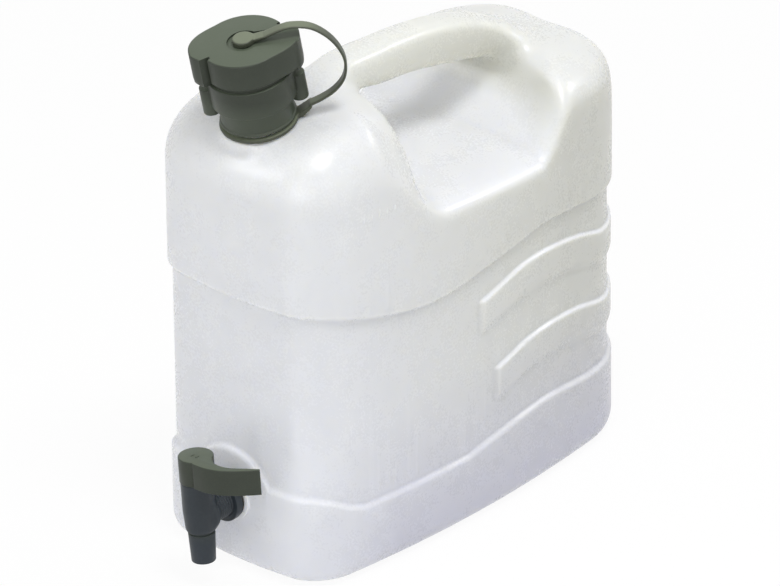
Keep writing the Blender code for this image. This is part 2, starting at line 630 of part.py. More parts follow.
def tether_ring(material, swing):
    """The ring round the neck with the tab that carries the strap's lower end."""
    inner = NECK_RADIUS + GAP
    profile = ((inner, 0), (RING_RADIUS - SMALL_EDGE, 0), (RING_RADIUS, SMALL_EDGE),
               (RING_RADIUS, RING_THICKNESS - SMALL_EDGE), (RING_RADIUS - SMALL_EDGE, RING_THICKNESS),
               (inner, RING_THICKNESS))
    ring = add("tether_ring", turned(profile, tube=True), material, swing)
    end_x, end_z = STRAP_ROUTE[-1]
    half_t = STRAP_THICKNESS / 2
    outline = ((inner + SINK / 2, 0), (RING_RADIUS + SINK, 0), (end_x - GAP, end_z - half_t - GAP),
               (end_x - 2 * GAP, end_z + half_t), (RING_RADIUS, RING_THICKNESS + SMALL_EDGE),
               (inner + SINK / 2, RING_THICKNESS))
    tab = loft([[(x, side, z) for x, z in outline] for side in (-RING_TAB_WIDTH / 2, RING_TAB_WIDTH / 2)])
    combine(ring, add("ring_tab", moved(tab, strap_frame()), parent=swing), "UNION")
    combine(ring, add("ring_bore", cylinder(inner, -PAST, PAST), parent=swing), "DIFFERENCE")
    return ring


def strap_points(count):
    """The strap's centre line as (reach, height) pairs, evenly spread along a smooth curve."""
    route = np.array(STRAP_ROUTE)
    spans = np.concatenate([[0], np.cumsum(np.linalg.norm(np.diff(route, axis=0), axis=1))])
    at = np.linspace(0, spans[-1], count)
    return np.column_stack([smooth_line(list(zip(spans, route[:, k])), at) for k in (0, 1)])


def cap_strap(material, swing):
    line = strap_points(26)
    along = np.gradient(line, axis=0)
    along /= np.linalg.norm(along, axis=1)[:, None]
    half_w = STRAP_WIDTH / 2
    half_t = STRAP_THICKNESS / 2
    corner = half_t / 2
    section = [(half_w, corner), (half_w - corner, half_t), (corner - half_w, half_t), (-half_w, corner),
               (-half_w, -corner), (corner - half_w, -half_t), (half_w - corner, -half_t), (half_w, -corner)]
    rings = []
    for (x, z), (dx, dz) in zip(line, along):
        rings.append([(x - dz * up, side, z + dx * up) for side, up in section])
    return add("cap_strap", moved(loft(rings), strap_frame()), material, swing)


def tether_eyelet(material, lift):
    """The round end of the strap that clips over the cap's stud, with the tongue that carries the strap."""
    low = CAP_TOP - POCKET_DEPTH + GAP
    top = low + EYELET_THICKNESS
    inner = STUD_RADIUS + GAP
    profile = ((inner, low), (EYELET_RADIUS, low), (EYELET_RADIUS, top - SMALL_EDGE),
               (EYELET_RADIUS - SMALL_EDGE, top), (inner, top))
    eyelet = add("tether_eyelet", turned(profile, tube=True), material, lift)
    start_x, start_z = STRAP_ROUTE[0]
    half_t = STRAP_THICKNESS / 2
    root = EYELET_RADIUS - 2 * SMALL_EDGE
    outline = ((root, low + SMALL_EDGE / 2), (start_x - GAP, start_z - half_t),
               (start_x - GAP, start_z + half_t), (root, top - SMALL_EDGE))
    tongue = loft([[(x, side, z) for x, z in outline] for side in (-STRAP_WIDTH / 2, STRAP_WIDTH / 2)])
    combine(eyelet, add("tongue", moved(tongue, strap_frame()), parent=lift), "UNION")
    return eyelet


def tap_gasket(material, port):
    start = PORT_FACE_Y - GAP - TAP_GASKET_THICKNESS
    end = start + TAP_GASKET_THICKNESS
    inner = STUB_RADIUS + GAP
    profile = ((inner, start), (TAP_GASKET_RADIUS, start), (TAP_GASKET_RADIUS, end), (inner, end))
    return add("tap_gasket", along_stub(turned(profile, tube=True)), material, port)


def lock_nut(material, port):
    end = PORT_FACE_Y - GAP - TAP_GASKET_THICKNESS - GAP
    start = end - LOCK_NUT_THICKNESS
    inner = STUB_RADIUS + GAP
    profile = ((inner, start), (LOCK_NUT_RADIUS - SMALL_EDGE, start), (LOCK_NUT_RADIUS, start + SMALL_EDGE),
               (LOCK_NUT_RADIUS, end - SMALL_EDGE), (LOCK_NUT_RADIUS - SMALL_EDGE, end), (inner, end))
    return add("tap_lock_nut", along_stub(turned(profile, tube=True)), material, port)


def tap_body(material, port):
    """The barrel that holds the plug, with the boss and threaded stub that carry it on the can."""
    foot = BARREL_FOOT - TAP_Z
    top = BARREL_TOP - TAP_Z
    upright = Matrix.Translation((0, TAP_Y, 0))
    barrel = turned(((BARREL_FOOT_RADIUS - SMALL_EDGE, foot), (BARREL_FOOT_RADIUS, foot + SMALL_EDGE),
                     (BARREL_RADIUS, foot + BARREL_TAPER), (BARREL_RADIUS, top)))
    body = add("tap_body", moved(barrel, upright), material, port)
    start = TAP_Y - TAP_BOSS_FRONT
    end = TAP_Y + TAP_BOSS_REAR
    boss = turned(((TAP_BOSS_RADIUS - SMALL_EDGE, start), (TAP_BOSS_RADIUS, start + SMALL_EDGE),
                   (TAP_BOSS_RADIUS, end - SMALL_EDGE), (TAP_BOSS_RADIUS - SMALL_EDGE, end)))
    combine(body, add("tap_boss", along_stub(boss), parent=port), "UNION")
    stub = turned(((STUB_RADIUS, TAP_Y), (STUB_RADIUS, STUB_END_Y - SMALL_EDGE),
                   (STUB_RADIUS - SMALL_EDGE, STUB_END_Y)))
    combine(body, add("stub", along_stub(stub), parent=port), "UNION")
    low = PLUG_FOOT_RADIUS + GAP
    high = PLUG_TOP_RADIUS + GAP
    seat = turned(((low, foot - PAST), (low, foot), (high, top), (high, top + PAST)))
    combine(body, add("plug_seat", moved(seat, upright), parent=port), "DIFFERENCE")
    bore = cylinder(STUB_BORE, TAP_Y, STUB_END_Y + PAST, 24)
    combine(body, add("stub_bore", along_stub(bore), parent=port), "DIFFERENCE")
    return body


def lever_outline(inset):
    """Plan of the lever: the head's circle from the blade's front edge round to its rear edge."""
    radius = LEVER_HEAD_RADIUS - inset
    first = math.atan2(LEVER_BLADE[0][1], LEVER_BLADE[0][0])
    last = math.atan2(LEVER_BLADE[-1][1], LEVER_BLADE[-1][0])
    angles = np.linspace(last + math.tau, first, 26)
    circle = [(radius * math.cos(a), radius * math.sin(a)) for a in angles]
    return circle + list(LEVER_BLADE[1:-1])


def tap_plug(material, turn):
    """Lever, tapered plug and spout in one piece, bored from below and with a port in its side."""
    foot = BARREL_FOOT - TAP_Z
    top = LEVER_FOOT - TAP_Z
    spout = SPOUT_FOOT - TAP_Z
    neck = foot - SPOUT_NECK
    profile = ((SPOUT_FOOT_RADIUS - SMALL_EDGE / 2, spout), (SPOUT_FOOT_RADIUS, spout + SMALL_EDGE / 2),
               (SPOUT_TOP_RADIUS, neck), (PLUG_FOOT_RADIUS - GAP, neck), (PLUG_FOOT_RADIUS, foot),
               (PLUG_TOP_RADIUS, top - GAP), (PLUG_TOP_RADIUS, top + SINK))
    plug = add("tap_plug", turned(profile), material, turn)
    height = LEVER_TOP - TAP_Z
    levels = ((top, 0), (height - LEVER_EDGE, 0), (height, LEVER_EDGE))
    lever = loft([[(x, y, z) for x, y in lever_outline(inset)] for z, inset in levels])
    combine(plug, add("lever", lever, parent=turn), "UNION")
    bore = cylinder(SPOUT_BORE, spout - PAST, SPOUT_BORE_TOP - TAP_Z, 24)
    combine(plug, add("spout_bore", bore, parent=turn), "DIFFERENCE")
    port = cylinder(PLUG_PORT_RADIUS, 0, 2 * PLUG_TOP_RADIUS, 20)
    away = Matrix.Rotation(-math.pi / 2, 4, "Y")
    combine(plug, add("plug_port", moved(port, away), parent=turn), "DIFFERENCE")
    return plug


def main():
    clear_scene()
    natural = plastic("natural_plastic", (0.86, 0.86, 0.82), 0.35)
    grey_green = plastic("grey_green_plastic", (0.13, 0.14, 0.11), 0.45)
    dark_plastic = plastic("dark_plastic", (0.05, 0.056, 0.06), 0.45)
    rubber = plastic("sealing_rubber", (0.02, 0.02, 0.02), 0.7)

    neck = empty("neck_axis", Matrix.Translation((0, NECK_Y, NECK_Z)) @ Matrix.Rotation(NECK_TILT, 4, "X"))
    port = empty("tap_port", Matrix.Translation((0, 0, TAP_Z)) @ Matrix.Rotation(TAP_LEAN, 4, "Y"))
    tap_axis = empty("tap_axis", Matrix.Translation((0, TAP_Y, 0)), port)

    can_body(natural, neck, port)
    tether_ring(grey_green, neck)
    cap_strap(grey_green, neck)
    tether_eyelet(grey_green, neck)
    cap_body(grey_green, neck)
    cap_gasket(rubber, neck)
    tap_gasket(rubber, port)
    lock_nut(dark_plastic, port)
    tap_body(dark_plastic, port)
    tap_plug(grey_green, tap_axis)


main()
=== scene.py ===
from math import atan, atan2, cos, pi, radians, sin, sqrt, tan, tau

import bmesh
import bpy
import numpy as np
from mathutils import Matrix, Vector
from mathutils.bvhtree import BVHTree

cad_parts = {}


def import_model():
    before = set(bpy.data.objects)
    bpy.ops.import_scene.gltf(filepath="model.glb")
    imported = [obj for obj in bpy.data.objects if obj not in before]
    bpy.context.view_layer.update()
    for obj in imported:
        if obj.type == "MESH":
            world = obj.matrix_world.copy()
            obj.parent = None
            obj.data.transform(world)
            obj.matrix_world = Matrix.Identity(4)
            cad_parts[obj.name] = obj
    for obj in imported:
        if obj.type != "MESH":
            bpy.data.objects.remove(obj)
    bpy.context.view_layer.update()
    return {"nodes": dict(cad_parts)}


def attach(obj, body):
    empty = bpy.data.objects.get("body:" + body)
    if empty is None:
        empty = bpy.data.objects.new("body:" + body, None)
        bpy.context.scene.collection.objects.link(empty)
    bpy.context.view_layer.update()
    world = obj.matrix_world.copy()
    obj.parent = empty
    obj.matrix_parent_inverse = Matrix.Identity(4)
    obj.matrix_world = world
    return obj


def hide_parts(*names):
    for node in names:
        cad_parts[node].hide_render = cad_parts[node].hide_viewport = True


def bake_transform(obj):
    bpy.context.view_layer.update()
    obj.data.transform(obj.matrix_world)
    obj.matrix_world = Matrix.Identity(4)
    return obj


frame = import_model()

GAP = 0.0003  # left between pieces that touch
PAST = 0.010  # how far a cutter runs past the face it opens
SINK = 0.002  # how far a joined shape runs into the one that carries it
SMALL_EDGE = 0.0007  # rounding of the small moulded edges
FINE_EDGE = 0.0003  # rounding of the finest ones
CORE = 0.001  # radius within which a turned shape's flat end is one face
THREAD_SINK = 0.0006  # how far a thread's ridge runs into its core
SHARP = 34  # degrees past which an edge stays sharp on the small pieces
BODY_SHARP = 42  # the same on the can

# Can body
BODY_LENGTH = 0.300
HALF_LENGTH = BODY_LENGTH / 2
FRONT_Y = -HALF_LENGTH
REAR_Y = HALF_LENGTH
BODY_WIDTH = 0.1522
FRONT_CORNER_RADIUS = 0.0253
REAR_CORNER_RADIUS = 0.0395
END_BOW = 0.0072
SIDE_BOW = 0.0118
BAND_OUTSET = 0.003
BASE_FILLET = 0.0129
WALL = 0.0022
STEP_HEIGHT = 0.005
RIB_OUT = 0.0025
RIB_HEIGHT = 0.0215
RIB_TOP_STEP = 0.0035
RIB_FOOT_STEP = 0.012
RIB_END = 0.005

# Wavy lines round the can, as (share of the half length, z): the top band's lower border, the bottom band's
# top and, for the lower and the upper rib, where it starts and its top
SEAM_LINE = ((-1.02, 0.186), (-0.9, 0.184), (-0.6667, 0.1746), (-0.3333, 0.167), (0.0, 0.173),
             (0.3333, 0.180), (0.6667, 0.176), (1.02, 0.173))
LOW_LINE = ((-1.02, 0.0624), (-0.9, 0.0595), (-0.7867, 0.0515), (-0.6667, 0.0462), (-0.3333, 0.0435),
            (0.0, 0.052), (0.3333, 0.058), (0.6667, 0.0545), (1.02, 0.056))
RIBS = ((FRONT_Y + 0.155, ((-1.02, 0.112), (-0.3333, 0.100), (0.0333, 0.0988), (0.2267, 0.1064),
                           (0.5533, 0.1068), (0.7867, 0.0996), (1.02, 0.0996))),
        (FRONT_Y + 0.141, ((-1.02, 0.150), (-0.06, 0.150), (0.2267, 0.1605), (0.5533, 0.157),
                           (0.78, 0.148), (1.02, 0.148))))
TAP_ARCH_RADIUS = 0.033

# Top of the can: the sloping shoulder round the neck, the hand recess and the block behind it
NECK_TILT = radians(12.5)
NECK_Y = FRONT_Y + 0.0291
NECK_Z = 0.2919
SHOULDER_EDGE = 0.257
SHOULDER_FILLET = 0.030
SHOULDER_PEAK_Y = FRONT_Y + 0.065
SHOULDER_DROP = 0.0085
SHOULDER_CROWN = 0.050
SHOULDER_CROWN_START = FRONT_Y + 0.038
# Places behind the front on the side and on the spine, for the rings' points
SHOULDER_SIDE = ((0.042, 0.058), (0.052, 0.067), (0.060, 0.077))
FRONT_SPINE = FRONT_Y + 0.052
RECESS_WALL_Y = FRONT_Y + 0.103
RECESS_WALL_RADIUS = 0.012
RECESS_WALL_DRAFT = 0.003
RECESS_FLARE = (FRONT_Y + 0.064, FRONT_Y + 0.113)
RECESS_BEND = 3
FLOOR_Z = 0.2320
FLOOR_FALL = 0.052
FLOOR_CROWN = 0.0055
FLOOR_LIP_FILLET = 0.009
SCOOP_START = REAR_Y - 0.0965
SCOOP_LENGTH = 0.0800
SCOOP_RISE = 0.0640
SCOOP_ANGLE = radians(78)
SCOOP_FOOT_ANGLE = radians(34)
SCOOP_LIP = 0.008
SCOOP_SIDE = (REAR_Y - 0.0995, REAR_Y - 0.0775)
SCOOP_BEND = 2
REAR_TOP = 0.2672
REAR_EDGE = 0.2390
REAR_EDGE_TURN = (REAR_Y - 0.1035, REAR_Y - 0.0680)
REAR_FILLET = 0.037
REAR_LIP_Y = REAR_Y - 0.051
REAR_SPINE = REAR_Y - 0.0345

# Handle: z of its top and its underside and its half width, each with its share of the half length
HANDLE_TOP = ((-0.7333, 0.2915), (-0.6333, 0.2960), (-0.5333, 0.3018), (-0.4, 0.3075), (-0.1333, 0.3075),
              (0.1333, 0.3040), (0.2933, 0.2995), (0.54, 0.2865), (0.6933, 0.2730), (0.8, 0.2600))
HANDLE_UNDERSIDE = ((-0.7333, 0.270), (-0.4, 0.2825), (-0.3067, 0.2835), (-0.1333, 0.2795), (0.0, 0.2775),
                    (0.26, 0.270), (0.5033, 0.261), (0.6667, 0.248), (0.8, 0.236))
HANDLE_HALF_WIDTH = ((-0.7333, 0.030), (-0.6333, 0.026), (-0.5333, 0.0195), (-0.4, 0.0150), (-0.2, 0.0140),
                     (0.3333, 0.0140), (0.45, 0.0150), (0.54, 0.0195), (0.62, 0.0280), (0.6933, 0.0380),
                     (0.8, 0.0520))
HANDLE_ROUNDING = 2.8

# Neck, cap and strap, in heights above the seat of the strap's ring along the tilted neck
NECK_RADIUS = 0.0199
NECK_BORE = 0.0172
NECK_HEIGHT = 0.0337
NECK_PAD_RADIUS = 0.0252
NECK_PAD_RISE = 0.0005
NECK_ROOT = 0.014
NECK_EDGE = 0.0009
NECK_THREAD = {"low": 0.0100, "pitch": 0.0042, "turns": 4.2, "foot": 0.0030, "tip": 0.0008}
RING_RADIUS = 0.0242
RING_THICKNESS = 0.0023
CAP_BORE = 0.0212
CAP_SKIRT_RADIUS = 0.0225
CAP_RIM_FLARE = 0.0008
CAP_FOOT = 0.0045
COLLAR_RADIUS = 0.0264
COLLAR_FOOT = 0.0195
COLLAR_TOP = 0.0380
COLLAR_FOOT_EDGE = 0.0004
SLOT_RADIUS = 0.0245
DRUM_RADIUS = 0.0266
DRUM_FOOT = 0.0415
CAP_TOP = 0.0590
CAP_EDGE = 0.0012
WING_REACH = 0.0070
WING_START = radians(-12)
WING_FULL = radians(42)
WING_END = radians(70)
WING_ROUNDING = radians(12)
WING_FACE = radians(0.6)
WING_SKIRT_START = radians(24)
WING_NOTCH = radians(75)
WING_NOTCH_DEPTH = 0.0022
WING_FOOT = 0.0388
# The two posts under the wings: distance from the axis and height of the foot
POSTS = ((0.0268, 0.0124), (0.0264, 0.0120))
POST_RADIUS = 0.0053
POST_ANGLE = radians(45)
POST_TOP = 0.0308
POST_TIP = 0.0012
GASKET_THICKNESS = 0.0020
GASKET_HOLE = 0.0140
SEAT_WALL = 0.0035
CAP_HOLLOW_RADIUS = 0.0222
CAP_ROOF = 0.0038
POCKET_DEPTH = 0.0013
POCKET_RADIUS = 0.0102
POCKET_GROOVE = 0.0153
EYELET_RADIUS = 0.0068
EYELET_THICKNESS = 0.0036
EYELET_SOCKET = 0.0024
EYELET_EDGE = 0.0011
EYELET_FOOT_EDGE = 0.0002
STUD_RADIUS = 0.0034
STRAP_ANGLE = radians(44)
STRAP_WIDTH = 0.0070
STRAP_THICKNESS = 0.0018
STRAP_ROUNDING = 4
STRAP_ROOT = 0.0012  # how far the tabs reach past the strap's ends
TAB_LIFT = 0.0001
STRAP_ROUTE = ((0.0130, 0.0612), (0.0292, 0.0650), (0.0406, 0.0622), (0.0485, 0.0554), (0.0543, 0.0461),
               (0.0572, 0.0340), (0.0545, 0.0220), (0.0470, 0.0138), (0.0390, 0.0095), (0.0315, 0.0068))
RING_TAB_WIDTH = 0.0092

# Drain tap: heights from the floor, and places along the horizontal threaded stub
TAP_Z = 0.048
TAP_LEAN = radians(-4)
PORT_BOSS_RADIUS = 0.0152
PORT_BORE = 0.0104
PORT_FACE_Y = FRONT_Y - 0.0042
PORT_INNER_Y = PORT_FACE_Y + 0.0122
TAP_Y = PORT_FACE_Y - 0.0258
TAP_GASKET_THICKNESS = 0.0015
TAP_GASKET_RADIUS = 0.0130
TAP_GASKET_EDGE = 0.0005
LOCK_NUT_RADIUS = 0.0136
LOCK_NUT_THICKNESS = 0.0050
LOCK_NUT_EDGE = 0.0008
STUB_RADIUS = 0.0100
STUB_END_Y = PORT_INNER_Y + 0.0040
STUB_BORE = 0.0055
STUB_THREAD = {"pitch": 0.0020, "foot": 0.0018, "tip": 0.0004}
STUB_THREAD_DEPTH = 0.0006
STUB_THREAD_INSET = 0.0010
TAP_BOSS_RADIUS = 0.0138
TAP_BOSS_EDGE = 0.0010
TAP_BOSS_REAR = 0.0040  # how far the boss reaches behind the barrel's axis
BARREL_RADIUS = 0.0106
BARREL_FOOT_RADIUS = 0.0095
BARREL_TAPER = 0.014
BARREL_TOP = 0.0698
BARREL_FOOT = 0.0368
PLUG_TOP_RADIUS = 0.0085
PLUG_FOOT_RADIUS = 0.0080
SPOUT_TOP_RADIUS = 0.0084
SPOUT_FOOT_RADIUS = 0.0075
SPOUT_FOOT = 0.0160
SPOUT_NECK = 0.0015
SPOUT_EDGE = 0.0006
SPOUT_BORE = 0.0055
SPOUT_BORE_TOP = 0.0560
PLUG_PORT_RADIUS = 0.0050
LEVER_TOP = 0.0870
LEVER_FOOT = BARREL_TOP + GAP
LEVER_HEAD_RADIUS = 0.0110
LEVER_EDGE = 0.0008
# Plan of the lever's blade from the tap's axis: its rear edge outwards, then its front edge back
LEVER_REAR_EDGE = ((0.0109, 0.0034), (0.0136, 0.0004), (0.0172, -0.0015), (0.0222, -0.0022),
                   (0.0280, -0.0011), (0.0350, 0.0028), (0.0446, 0.0086))
LEVER_FRONT_EDGE = ((0.0460, 0.0074), (0.0412, 0.0027), (0.0365, -0.0011), (0.0305, -0.0054),
                    (0.0245, -0.0085), (0.0175, -0.0103), (0.0060, -0.0104))

# How finely the skins are made, and the share of their faces that is kept
BODY_DENSITY = 4
TURNED_STEPS = 144
SHELL_VOXEL = 0.0015
SHELL_SHARE = 0.48
HOLLOW_SHARE = 0.05
TETHER_VOXEL = 0.00042
BARREL_VOXEL = 0.00035

# Soft joints: how far each reaches, how strongly and how often its points move
BLEND_REACH = 0.015
BLEND_WEIGHT = 0.6
BLEND_ROUNDS = 70
REAR_BLEND_REACH = 0.028
REAR_BLEND = (0.055, 0.085)
PAD_BLEND = 0.008
PAD_ROUNDS = 24
TOP_EVEN = (0.205, 0.222)
TOP_ROUNDS = 10
EVEN_WEIGHT = 0.5
TETHER_ROUNDS = 4
BARREL_BLEND = (0.0010, 0.0034)
BARREL_BLEND_ROUNDS = 60
BARREL_ROUNDS = 3
SIDE_FIT = 0.9998  # keeps the fused skin within the can's width

# Colours, each pair from dark to light
GREEN = ((0.024, 0.030, 0.0205), (0.031, 0.038, 0.0265))
OLIVE = ((0.044, 0.051, 0.034), (0.056, 0.064, 0.044))
CHARCOAL = ((0.017, 0.023, 0.029), (0.024, 0.031, 0.038))
BLACK = ((0.016, 0.016, 0.016), (0.024, 0.024, 0.023))
# painted shade: the spout, the lower end of the grey-green lever piece, is darker and bluer
SPOUT_PAINTED_SHADE = (0.019, 0.026, 0.036)
# painted bounce light: the cap's green is paler low down, where the white can lights it
CAP_BOUNCE_LIGHT_BELOW = 0.312  # height under which the cap's green is paler
COOL_WHITE = ((0.795, 0.800, 0.835), (0.835, 0.840, 0.870))
WARM_WHITE = ((0.825, 0.825, 0.780), (0.870, 0.868, 0.825))
SPECK_WHITE = (0.87, 0.868, 0.84)
REAR_CREAM = (0.86, 0.855, 0.765)
# painted light on the level floor of the hand recess
RECESS_PAINTED_LIGHT = (0.985, 0.98, 0.93)
GRIP_CREAM = (0.86, 0.85, 0.70)
# painted shade: steep faces darker towards the rear
SIDE_PAINTED_SHADE = (0.52, 0.52, 0.47)
# painted shade: darker and bluer low down behind the front
FOOT_PAINTED_SHADE = (0.50, 0.50, 0.59)
# painted light round the tap's port, lifting the shade the tap casts on the wall
PORT_PAINTED_LIGHT = (0.985, 0.985, 0.99)
PORT_LIGHT_PLACE = (0.022, -0.15, 0.078)
PORT_LIGHT_REACH = 0.055
EDGE_WHITE = (0.92, 0.92, 0.90)

# Lamps: name, place, the point it faces, its two sides and its watts
LAMPS = (("right_above", (0.55, -0.28, 1.75), (0, 0, 0.2), (0.45, 0.45), 12),
         ("rear_right", (0.80, 1.25, 1.30), (0, 0.02, 0.25), (0.35, 0.35), 5),
         ("front_soft", (0.95, -2.15, 1.0), (0, 0, 0.12), (1.5, 1.0), 12.5),
         ("front_left", (-1.1, -1.7, 1.3), (0, 0, 0.12), (0.5, 0.5), 4.5))
AMBIENT = 0.58
FLOOR_SIZE = 30
FLOOR_WHITE = 0.92

# Camera: angles in degrees, distance in metres, sensor in millimetres, and in pixels the picture's size, the
# point it faces and the focal length
AZIMUTH, ELEVATION, ROLL = 41.97, 28.12, -0.597
CAMERA_DISTANCE = 5.3814
CAMERA_TARGET = (-0.0043, 0, 0.1249)
SENSOR_WIDTH = 36
PICTURE = (780, 586)
PICTURE_MIDDLE = (391.3, 292.06)
FOCAL_PIXELS = 8743.4

# Raised ticks on the can's side and on the lever's head
TICK_LENGTHS = (0.0045, 0.0045, 0.0090, 0.0045, 0.0045)
TICK_FIRST_Y = -0.1085
TICK_STEP = 0.0062
TICK_WIDTH = 0.0015
TICK_RISE = 0.0005
TICK_Z = 0.2435
MARK_PLACES = (-0.0012, 0.0026)
MARK_Y = -0.0015
MARK_POINT = 1.3
MARK_LENGTH = 0.0026
MARK_WIDTH = 0.0010
MARK_RISE = 0.0003


def smooth_line(knots, at):
    """A smooth curve through (position, value) knots, flat beyond the ends."""
    places, values = np.array(knots, float).T
    slopes = np.gradient(values, places)
    at = np.clip(at, places[0], places[-1])
    i = np.clip(np.searchsorted(places, at, side="right") - 1, 0, len(places) - 2)
    span = places[i + 1] - places[i]
    t = (at - places[i]) / span
    rest = 1 - t
    return (values[i] * (1 + 2 * t) * rest**2 + values[i + 1] * t**2 * (3 - 2 * t)
            + span * t * rest * (slopes[i] * rest - slopes[i + 1] * t))


def eased(value, start, end):
    """0 up to the start, 1 from the end, and smooth between them."""
    t = np.clip((value - start) / (end - start), 0, 1)
    return t * t * (3 - 2 * t)


FRONT_FLAT = BODY_WIDTH / 2 - FRONT_CORNER_RADIUS
FRONT_ARC = FRONT_CORNER_RADIUS * pi / 2
SIDE_FLAT = BODY_LENGTH - FRONT_CORNER_RADIUS - REAR_CORNER_RADIUS
REAR_ARC = REAR_CORNER_RADIUS * pi / 2
REAR_FLAT = BODY_WIDTH / 2 - REAR_CORNER_RADIUS
SIDE_SHRINK = 1 - 2 * END_BOW / BODY_LENGTH
SIDE_START = FRONT_FLAT + FRONT_ARC
SIDE_END = SIDE_START + SIDE_FLAT
REAR_START = SIDE_END + REAR_ARC


def side_place(y):
    """The length along the outline at which the bowed side passes y."""
    return SIDE_START + y / SIDE_SHRINK - FRONT_Y - FRONT_CORNER_RADIUS


def outline_points(s):
    """Points of the bowed outline on the +X side, by length from the middle of the front face."""
    half_width = BODY_WIDTH / 2
    front_turn = (s - FRONT_FLAT) / FRONT_CORNER_RADIUS
    rear_turn = (s - SIDE_END) / REAR_CORNER_RADIUS
    zones = [s < FRONT_FLAT, s < SIDE_START, s < SIDE_END, s < REAR_START]
    x = np.select(zones, [s, FRONT_FLAT + FRONT_CORNER_RADIUS * np.sin(front_turn), half_width + 0 * s,
                          REAR_FLAT + REAR_CORNER_RADIUS * np.cos(rear_turn)],
                  REAR_FLAT - (s - REAR_START))
    y = np.select(zones, [FRONT_Y + 0 * s,
                          FRONT_Y + FRONT_CORNER_RADIUS * (1 - np.cos(front_turn)),
                          FRONT_Y + FRONT_CORNER_RADIUS + s - SIDE_START,
                          REAR_Y - REAR_CORNER_RADIUS * (1 - np.sin(rear_turn))],
                  REAR_Y + 0 * s)
    return np.stack([x * (1 - 2 * SIDE_BOW / BODY_WIDTH * (2 * y / BODY_LENGTH) ** 2),
                     y * (1 - 2 * END_BOW / BODY_LENGTH * (2 * x / BODY_WIDTH) ** 2)], axis=1)


def outline_normals(s, step=1e-5):
    """Outward unit vectors of the bowed outline."""
    along = outline_points(s + step) - outline_points(s - step)
    normals = np.stack([along[:, 1], -along[:, 0]], axis=1)
    return normals / np.linalg.norm(normals, axis=1)[:, None]


def recess_profile():
    """Spine places down the recess's front wall, round the arcs at its top and its foot."""
    turns = np.linspace(0, pi / 2, 4)
    upper = RECESS_WALL_Y - RECESS_WALL_RADIUS * (1 - np.sin(turns))
    lower = RECESS_WALL_Y + RECESS_WALL_DRAFT + RECESS_WALL_RADIUS * (1 - np.cos(turns))
    return [*upper, *lower]


def scoop_rise(c):
    """Share of the climb from the recess floor to the rear block's top at spine place c."""
    foot = sin(SCOOP_FOOT_ANGLE)
    joint = SCOOP_START + SCOOP_LENGTH * (sin(SCOOP_ANGLE) - foot)
    steepest = atan(SCOOP_RISE * tan(SCOOP_ANGLE) / SCOOP_LENGTH)
    below = SCOOP_RISE * (cos(SCOOP_FOOT_ANGLE) - cos(SCOOP_ANGLE))
    total = below + SCOOP_LIP * (1 - cos(steepest))
    inside = np.clip((c - SCOOP_START) / SCOOP_LENGTH + foot, foot, sin(SCOOP_ANGLE))
    lip = np.clip(sin(steepest) - (c - joint) / SCOOP_LIP, 0, sin(steepest))
    rise = np.where(c < joint, SCOOP_RISE * (cos(SCOOP_FOOT_ANGLE) - np.sqrt(1 - inside**2)),
                    below + SCOOP_LIP * (np.sqrt(1 - lip**2) - cos(steepest)))
    return rise / total


def shoulder_height(x, y):
    """Top of the front block, square to the neck up to the peak, then falling to the recess."""
    slope = tan(NECK_TILT)
    seat = NECK_Z - (GAP + NECK_PAD_RISE) / cos(NECK_TILT)
    level = seat + slope * (np.minimum(y, SHOULDER_PEAK_Y) - NECK_Y)
    past_peak, past_start = (np.clip((y - start) / (RECESS_WALL_Y - start), 0, 1)
                             for start in (SHOULDER_PEAK_Y, SHOULDER_CROWN_START))
    across = np.clip(x / (BODY_WIDTH / 2 + BAND_OUTSET), -1, 1)
    crown = SHOULDER_CROWN * past_start**2 * (1 - np.sqrt(1 - across**2))
    return level - SHOULDER_DROP * past_peak**2 - crown


def top_height(c, x, y):
    """Top surface where a ray from the rim to spine place c passes (x, y)."""
    near_wall = eased(c, SHOULDER_PEAK_Y, RECESS_WALL_Y - RECESS_WALL_RADIUS)
    shoulder = shoulder_height(x, y * (1 - near_wall) + c * near_wall)
    floor = FLOOR_Z - FLOOR_FALL * (c - RECESS_WALL_Y) - FLOOR_CROWN * (2 * x / BODY_WIDTH) ** 2
    radius = RECESS_WALL_RADIUS
    past = np.clip(c - RECESS_WALL_Y + radius, 0, radius)
    before = np.clip(RECESS_WALL_Y + RECESS_WALL_DRAFT + radius - c, 0, radius)
    upper = shoulder - radius + np.sqrt(radius**2 - past**2)
    lower = floor + radius - np.sqrt(radius**2 - before**2)
    share = np.clip((c - RECESS_WALL_Y) / RECESS_WALL_DRAFT, 0, 1)
    climb = np.where(c > SCOOP_START, scoop_rise(c), 0)
    return upper * (1 - share) + lower * share + (REAR_TOP - floor) * climb


def low_line(x, y):
    """Top of the bottom band, which rises in an arch over the tap."""
    arch = np.sqrt(np.clip(TAP_ARCH_RADIUS**2 - x**2, 0, None)) + TAP_Z
    line = smooth_line(LOW_LINE, y / HALF_LENGTH)
    return np.where(y < 0, np.maximum(line, arch), line)


def wing_reach(angle):
    """How far the cap's two finger wings stand out at an angle; they repeat each half turn."""
    turn = (angle - WING_START) % pi + WING_START
    rounding = 0.5 + 0.5 * eased(turn, WING_END + WING_ROUNDING / 4, WING_FULL + WING_ROUNDING)
    out = WING_REACH * float(eased(turn, WING_START, WING_FULL) * rounding)
    return out if turn < WING_END else 0.0


def polar(radius, angle):
    return radius * cos(angle), radius * sin(angle)


def even_line(route, count):
    """Points spread evenly on a smooth curve through the route, and its direction at each."""
    route = np.array(route)
    spans = np.insert(np.cumsum(np.linalg.norm(np.diff(route, axis=0), axis=1)), 0, 0)
    at = np.linspace(0, spans[-1], count)
    line = np.column_stack([smooth_line(np.column_stack([spans, values]), at) for values in route.T])
    along = np.gradient(line, axis=0)
    return line, along / np.linalg.norm(along, axis=1)[:, None]


